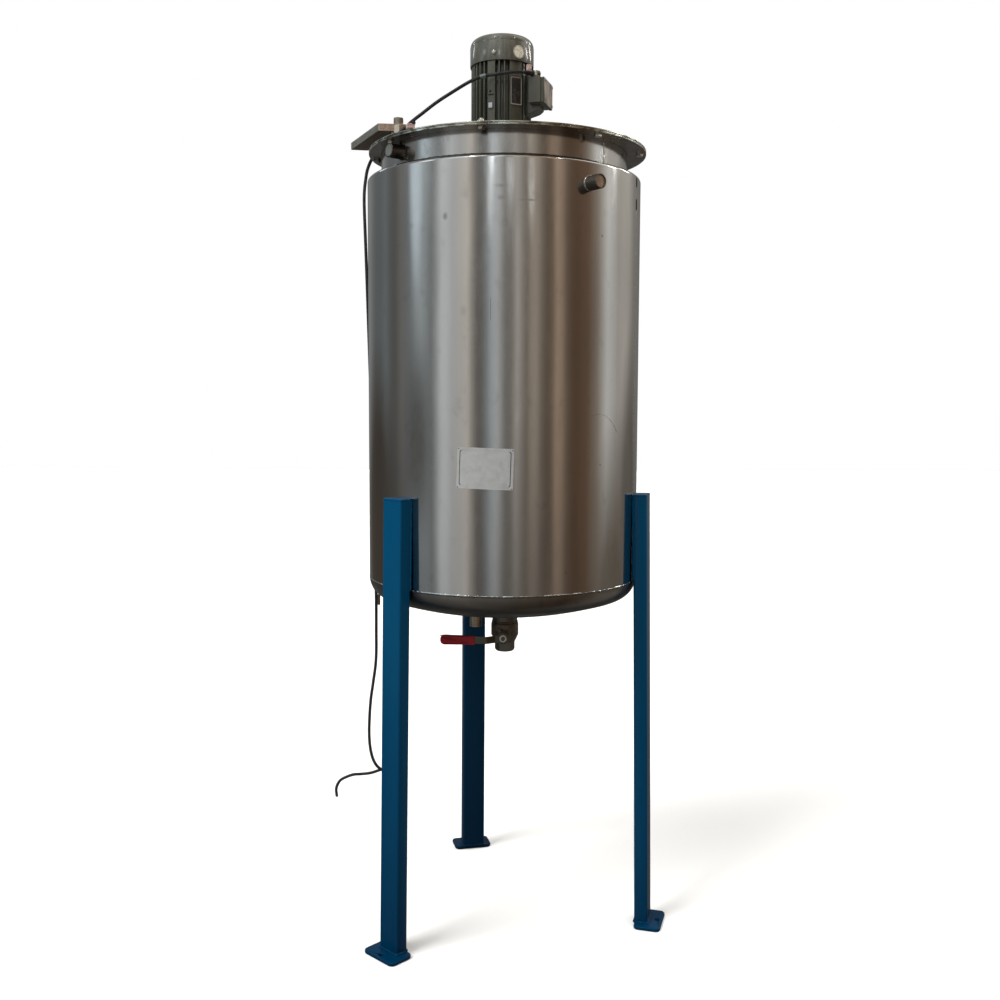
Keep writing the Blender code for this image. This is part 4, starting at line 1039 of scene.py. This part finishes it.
def motor_coat(name, colour, roughness, grit):
    """Sprayed motor paint: uneven sheen, greasy smears and the grit of the metal under it."""
    material, tree, shader, place = plain_material(name, colour, roughness)
    smears = noise(tree, place, 24.0, 5.0, (1.0, 1.0, 0.35))
    low = tuple(c * 0.75 for c in colour)
    high = tuple(c * 1.25 for c in colour)
    colour_by(tree, shader, blend(tree, smears, low, high))
    roughen_by(tree, shader, between(tree, smears, roughness - 0.05, roughness + 0.10))
    shader.inputs["Coat Weight"].default_value = 0.6
    shader.inputs["Coat Roughness"].default_value = roughness * 0.45
    relief(tree, shader, noise(tree, place, 330.0, 3.0), grit, 0.7)
    return material


casting_coat = motor_coat("casting_coat", (0.052, 0.054, 0.040), 0.36, 0.00030)
cowl_coat = motor_coat("cowl_coat", (0.080, 0.081, 0.066), 0.14, 0.00004)
box_coat = motor_coat("box_coat", (0.050, 0.051, 0.038), 0.34, 0.00020)

mount = rod("motor_foot_ring", 0.100, MOTOR_AT + lift(2.1328), MOTOR_AT + lift(2.1448), 96, 0.0015)
finish_piece(mount, casting_coat, "motor_paint", replaced=("motor_flange",), flat=True)

# Azimuth, half width in degrees, radius
pads = ((PAD_AZIMUTH, PAD_HALF, FIN_TIP_R), (PLATE_AZIMUTH, PLATE_HALF, FIN_TIP_R),
        (BOX_AZIMUTH, 25.0, FIN_ROOT_R), (160.0, PAD_HALF, FIN_TIP_R), (207.5, PLATE_HALF, FIN_TIP_R),
        (250.0, PAD_HALF, FIN_TIP_R))
fin_outline = []


def add_rib(middle, half, radius):
    """One fin or pad in the frame's outline, drafted as cast, with its foot on the barrel."""
    for azimuth, reach in ((middle - half - 0.8, FIN_ROOT_R), (middle - half, radius),
                           (middle + half, radius), (middle + half + 0.8, FIN_ROOT_R)):
        point = outward(azimuth) * reach
        fin_outline.append((point.x, point.y))


azimuth = -45.0
while azimuth < 315.0 - 0.01:
    pad = next((p for p in pads if abs(azimuth - p[0]) < p[1] + 3.0), None)
    if pad is None:
        add_rib(azimuth, FIN_HALF, FIN_TIP_R)
        azimuth += FIN_STEP
    else:
        add_rib(*pad)
        while azimuth < pad[0] + pad[1] + 3.0:
            azimuth += FIN_STEP
FRAME_FOOT_Z = 2.1451
FRAME_TOP_Z = 2.374
frame_casting = flat_piece("motor_barrel", [fin_outline], FRAME_TOP_Z - FRAME_FOOT_Z, 0.0009)
posed(frame_casting, MOTOR_AT + lift((FRAME_TOP_Z + FRAME_FOOT_Z) / 2))
pad_out = outward(PAD_AZIMUTH)
pad_face = FIN_TIP_R * cos(radians(PAD_HALF))
hole_at = MOTOR_AT + Vector((-0.0320, -0.080, 2.2834))
cut(frame_casting, rod("tapped_hole", 0.0030, hole_at - pad_out * 0.012, hole_at + pad_out * 0.012, 24))
finish_piece(frame_casting, casting_coat, "motor_paint", replaced=("motor_frame",), smooth=35.0)
# Painted shade: a thin black strip laid on the foot pad stands for the shade of the pad's step.
step_shade_paint = plain_material("painted_step_shade", (0.006, 0.006, 0.006), 0.9)[0]
pad_line = block("pad_step_painted_shade", (0.0165, 0.0008, 0.0028),
                 MOTOR_AT + pad_out * (pad_face + 0.0001) + lift(2.2742), radians(PAD_AZIMUTH))
finish_piece(pad_line, step_shade_paint, "motor_paint")


def slab(name, size, centre, turn, edge, segments=3):
    """A rectangular block with its edges eased."""
    piece = ease(settle(block(name, size, ORIGIN)), edge, segments)
    return posed(piece, centre, (0.0, 0.0, turn))


pale_zinc = steel("pale_zinc", (0.60, 0.64, 0.70), 0.34)
lug_at = MOTOR_AT + pad_out * (pad_face + 0.0018) + outward(70.0) * -0.0012 + lift(2.2458)
finish_piece(slab("earth_screw", (0.0126, 0.0042, 0.0147), lug_at, radians(PAD_AZIMUTH), 0.0014), pale_zinc,
             "motor_paint", flat=True)

COWL_R = 0.087
COWL_EDGE_R = 0.022
COWL_TOP_Z = 2.438
COWL_FOOT_Z = 2.3640
edge = (COWL_R - COWL_EDGE_R, COWL_TOP_Z - COWL_EDGE_R)
cowl_profile = [(0.0, COWL_TOP_Z), (edge[0] - 0.020, COWL_TOP_Z)]
cowl_profile += rounded(edge, COWL_EDGE_R - 0.0005, 90.0, 0.0, 12)
cowl_profile += [(COWL_R - 0.0005, 2.4150), (COWL_R, 2.4142), (COWL_R, 2.3668),
                 (COWL_R - 0.0004, COWL_FOOT_Z), (COWL_R - 0.0022, COWL_FOOT_Z), (COWL_R - 0.0026, 2.3660)]
cowl_profile += rounded(edge, 0.0194, 0.0, 90.0, 10) + [(0.0, 2.4354)]
cowl = spun("motor_cowl", cowl_profile, MOTOR_AT, 128)
slots = []
for row, count in ((0.018, 8), (0.032, 14), (0.046, 20)):
    for k in range(count):
        turn = 360.0 * k / count
        slots.append(settle(block("cowl_slots", (0.0085, 0.0045, 0.012), around(turn, row, 2.437, MOTOR_AT),
                                  radians(turn))))
for slot in slots:
    slot.select_set(True)
bpy.context.view_layer.objects.active = slots[0]
bpy.ops.object.join()
cut(cowl, slots[0])
finish_piece(cowl, cowl_coat, "motor_paint", replaced=("fan_cowl",))
screw = spun("cowl_screw", [(0.0, 0.0), (0.0061, 0.0), (0.0061, 0.0010), (0.0052, 0.0024), (0.0036, 0.0032),
                            (0.0, 0.0035)], ORIGIN, 32)
cut(screw, rod("screw_groove", 0.0008, (-0.01, 0, 0.0038), (0.01, 0, 0.0038), 8))
for number, turn in enumerate((-14.6, 105.4, 225.4)):
    seat = around(turn, COWL_R - GAP, 2.3829, MOTOR_AT)
    finish_piece(placed(twin(screw, f"cowl_screw_{number}"), seat, outward(turn), 35.0), plated_steel,
                 "motor_paint", smooth=30.0)
discard(screw)

sticker_paper = mottled("sticker_paper", 0.42, (0.84, 0.81, 0.68), (0.58, 0.55, 0.43), 160.0, 5.0)
orange = mottled("orange_dab", 0.45, (0.60, 0.22, 0.03), (0.40, 0.16, 0.05), 500.0)
rings = (0.004, 0.008, 0.012, 0.0168)
disc = spun("cowl_sticker", [(0.0, 0.0)] + [(r, 0.0) for r in rings] + [(0.0172, 0.0003)]
            + [(r, 0.0003) for r in rings[::-1]] + [(0.0, 0.0003)], ORIGIN, 48)
ring = flat_piece("sticker_ring", [ring_of(0.0160, steps=64), ring_of(0.0151, steps=64)], 0.0010, 0.0)
dab = slab("cowl_dab", (0.0060, 0.0095, 0.0006), ORIGIN, 0.0, 0.0001, 1)
for patch, turn, height, finish in ((disc, 31.9, 2.3870, sticker_paper), (ring, 31.9, 2.3870, print_dark),
                                    (dab, 54.6, 2.3920, orange)):
    finish_piece(wrap(patch, MOTOR_AT, COWL_R + 0.0001, turn, height), finish, "label")

plate_r = FIN_TIP_R * cos(radians(PLATE_HALF)) + GAP
nameplate_metal = mottled("nameplate_black", 0.35, (0.020, 0.020, 0.022), (0.12, 0.12, 0.12), 220.0, 5.0,
                          (0.5, 0.8), metallic=0.3)
for name, outlines, thickness, offset, finish, replaced in (
        ("rating_plate", [rounded_box(0.034, 0.073, 0.0015)], 0.0012, 0.0006, nameplate_metal,
         ("motor_nameplate",)),
        ("rating_plate_border", [rounded_box(0.0336, 0.0726, 0.0014), rounded_box(0.0284, 0.0674, 0.001)],
         0.0006, 0.0014, plug_grey, ())):
    plate = posed(flat_piece(name, outlines, thickness, 0.0001, 2),
                  around(PLATE_AZIMUTH, plate_r + offset, 2.285, MOTOR_AT),
                  (radians(90.0), 0.0, radians(PLATE_AZIMUTH)))
    finish_piece(plate, finish, "nameplate", replaced=replaced)


# Terminal box. A cast neck runs out of the motor's side to a shallow box with a screwed lid, whose
# outer face is paler, partly rubbed paint and partly painted light. The neck's underside slopes back
# to the motor.
BOX_OUT = outward(BOX_AZIMUTH)
BOX_TURN = radians(BOX_AZIMUTH - 90.0)
BOX_Z = 2.285
BOX_LID_Z = 2.288
worn_and_lit_coat, tree, shader, place = plain_material("worn_and_lit_lid_coat", (0.24, 0.20, 0.165), 0.38)
streaks = noise(tree, place, 60.0, 6.0, (1.0, 1.0, 0.3))
rubbed_and_lit = blend(tree, streaks, (0.085, 0.072, 0.058), (0.42, 0.36, 0.31))
# The outer face is paler: partly rubbed paint, partly painted light on the face that catches the light.
colour_by(tree, shader, tint(tree, facing(tree, BOX_OUT, 0.55, 0.85), (0.048, 0.049, 0.036), rubbed_and_lit))
relief(tree, shader, streaks, 0.0004, 0.6)


def box_part(name, side_view, width, edge):
    """A piece of the box with the given outline of (reach, height) seen from its side."""
    piece = flat_piece(name, [[(reach, height - BOX_Z) for reach, height in side_view]], width, edge)
    return settle(posed(piece, AXIS + lift(BOX_Z), (radians(90.0), 0.0, BOX_TURN)))


box = box_part("connection_box", [(0.0805, 2.256), (0.115, 2.256), (0.115, 2.323), (0.0805, 2.338)], 0.090,
               0.0018)
gland_back = GLAND_MOUTH - GLAND_HEADING * 0.0083
cut(box, rod("gland_way", 0.0103, gland_back, gland_back + GLAND_HEADING * 0.06, 32))
finish_piece(box, box_coat, "motor_paint", replaced=("terminal_box",), flat=True)
box_lid = slab("connection_lid", (0.010, 0.092, 0.068), AXIS + BOX_OUT * 0.1203 + lift(BOX_LID_Z), BOX_TURN,
               0.003, 4)
finish_piece(box_lid, worn_and_lit_coat, "motor_paint", replaced=("terminal_box_lid",), flat=True)
neck = box_part("box_neck", [(0.0640, 2.2290), (0.0960, 2.2380), (0.1070, 2.2470), (0.1070, 2.3200),
                             (0.0820, 2.3320), (0.0780, 2.3355), (0.0640, 2.3355)], 0.046, 0.0022)
finish_piece(neck, box_coat, "motor_paint", flat=True)
for number, (sideways, up) in enumerate(CORNERS):
    corner = AXIS + BOX_OUT * 0.1250 + outward(BOX_AZIMUTH + 90.0) * sideways * 0.038
    head = hexagon(f"lid_screw_{number}", 0.0034, 0.0022, 0.0005)
    finish_piece(placed(head, corner + lift(BOX_LID_Z + up * 0.025), BOX_OUT), dark_plated,
                 "motor_paint", smooth=30.0)


# Lead fittings. A plastic gland holds the lead where it leaves the motor, a tapered rubber bush keeps
# it from kinking there, a pale clip lies beside it, and two ties sit on it further down.
gland_plastic = mottled("gland_plastic", 0.36, (0.58, 0.54, 0.50), (0.26, 0.22, 0.19), 170.0, 5.0)
gland = hexagon("lead_gland", 0.0095, 0.0080, 0.0010)
finish_piece(placed(gland, GLAND_MOUTH - GLAND_HEADING * 0.0080, GLAND_HEADING), gland_plastic,
             "gland_plastic", replaced=("cable_gland",), smooth=30.0)
gland_root = rod("gland_root", 0.0102, GLAND_MOUTH - GLAND_HEADING * 0.0183,
                 GLAND_MOUTH - GLAND_HEADING * 0.0084, 32, 0.0008)
finish_piece(gland_root, box_coat, "motor_paint", flat=True)
travelled = [0.0]
for here, there in zip(lead_points, lead_points[1:]):
    travelled.append(travelled[-1] + (there - here).length)


def lead_run(low, high):
    """The lead's points between two distances along it."""
    return [point for point, way in zip(lead_points, travelled) if low <= way <= high]


bush_points = lead_run(0.0, 0.026)
bush_scales = [1.0 - 0.38 * i / (len(bush_points) - 1) for i in range(len(bush_points))]
bush = finish_piece(strand("gland_bush", bush_points, 0.0082, scales=bush_scales), rubber, "gland_plastic")
tie_blue = mottled("tie_blue", 0.4, (0.080, 0.105, 0.105), (0.18, 0.215, 0.215), 400.0, 3.0)
tie_olive = mottled("tie_olive", 0.6, (0.022, 0.019, 0.012), (0.070, 0.060, 0.040), 500.0, 3.0)
tie_spot = at(-0.057, -0.096, 2.317)
tie_way = min(zip(lead_points, travelled), key=lambda pair: (pair[0] - tie_spot).length)[1]
upper_tie = finish_piece(strand("lead_tie_upper", lead_run(tie_way - 0.010, tie_way + 0.010), 0.0054),
                         tie_blue, "gland_plastic", smooth=60.0)
knot_run = dotted([at(-0.3626, 0.0915, height) for height in (0.858, 0.889)])
lower_tie = finish_piece(strand("lead_tie_lower", knot_run, 0.0043), tie_olive, "gland_plastic", smooth=60.0)
clip_pink = mottled("clip_pink", 0.45, (0.58, 0.44, 0.40), (0.30, 0.20, 0.17), 200.0)
clip = slab("lead_clip", (0.0140, 0.0070, 0.0215), at(0.0655, -0.0745, 2.3430), radians(20.0), 0.0016)
finish_piece(clip, clip_pink, "gland_plastic", flat=True)


# Bracket on the lid. A heavy flat bar with rust-stained faces is bent outwards past the lid's edge. It
# lies on a packer and is held by a hexagon nut under a knurled knob; a small clamp block sits beside it.
rusty, tree, shader, place = plain_material("rusty_steel", (0.24, 0.17, 0.12), 0.55, 0.5)
flakes = noise(tree, place, 55.0, 7.0)
pits = noise(tree, place, 190.0, 4.0, shift=(2.0, 5.0, 1.0))
base = blend(tree, flakes, (0.36, 0.27, 0.21), (0.55, 0.42, 0.34))
base = blend(tree, pits, base, (0.11, 0.065, 0.040), 0.52, 0.72)
# Faces turned towards the front left are painted grey-green; faces turned down are painted dark brown as
# painted shade.
for heading, tone, cover in (((-0.91, -0.41, 0.0), (0.15, 0.165, 0.15), 0.90),
                             ((0.0, 0.0, -1.0), (0.060, 0.042, 0.030), 0.80)):
    base = tint(tree, facing(tree, heading, 0.80, 0.92, cover), base, tone)
colour_by(tree, shader, base)
relief(tree, shader, pits, 0.0006, 0.8)
bar_outline = [(-0.335, -0.114), (-0.262, -0.107), (-0.262, -0.060), (-0.3065, -0.060), (-0.389, 0.121),
               (-0.438, 0.112)]
bar = posed(flat_piece("bracket_bar", [bar_outline], 0.020, 0.0018), at(0, 0, 2.1795))
finish_piece(bar, rusty, "bare_steel", replaced=("lid_bracket",), flat=True)
packer = slab("bracket_block", (0.036, 0.040, 0.0364), at(-0.284, -0.085, 2.1510), 0.0, 0.0012)
finish_piece(packer, rusty, "bare_steel", replaced=("bracket_packer",), flat=True)
pale_nut_steel = steel("pale_nut_steel", (0.74, 0.66, 0.54), 0.40, smear=0.2)
knob_at = at(-0.283, -0.092, 2.1898)
knurled = rod("bracket_knob", 0.0128, knob_at, knob_at + lift(0.0186), 40, 0.0020)
finish_piece(knurled, dark_plated, "bare_steel", replaced=("bracket_bolt",), flat=True)
KNURLS = 56
ribs = [(r * cos(2 * pi * i / KNURLS), r * sin(2 * pi * i / KNURLS))
        for i, r in enumerate((0.0121, 0.0130) * (KNURLS // 2))]
grip = posed(flat_piece("bracket_knurl", [ribs], 0.0120, 0.0), knob_at + lift(0.0075))
finish_piece(grip, dark_plated, "bare_steel", smooth=20.0)
front_nut = placed(hexagon("bracket_nut", 0.0165, 0.0205, 0.0016), at(-0.2790, -0.1010, 2.1655))
finish_piece(front_nut, pale_nut_steel, "bare_steel", smooth=30.0)
clamp = slab("lid_clamp", (0.0200, 0.0170, 0.0125), at(-0.2350, -0.2885, 2.1386), 0.3, 0.0015)
finish_piece(clamp, clip_pink, "bare_steel", flat=True)
clamp_knob = rod("lid_clamp_knob", 0.0046, at(-0.2262, -0.2930, 2.1430), at(-0.2262, -0.2930, 2.1505), 24,
                 0.0014)
finish_piece(clamp_knob, rubber, "gland_plastic", flat=True)
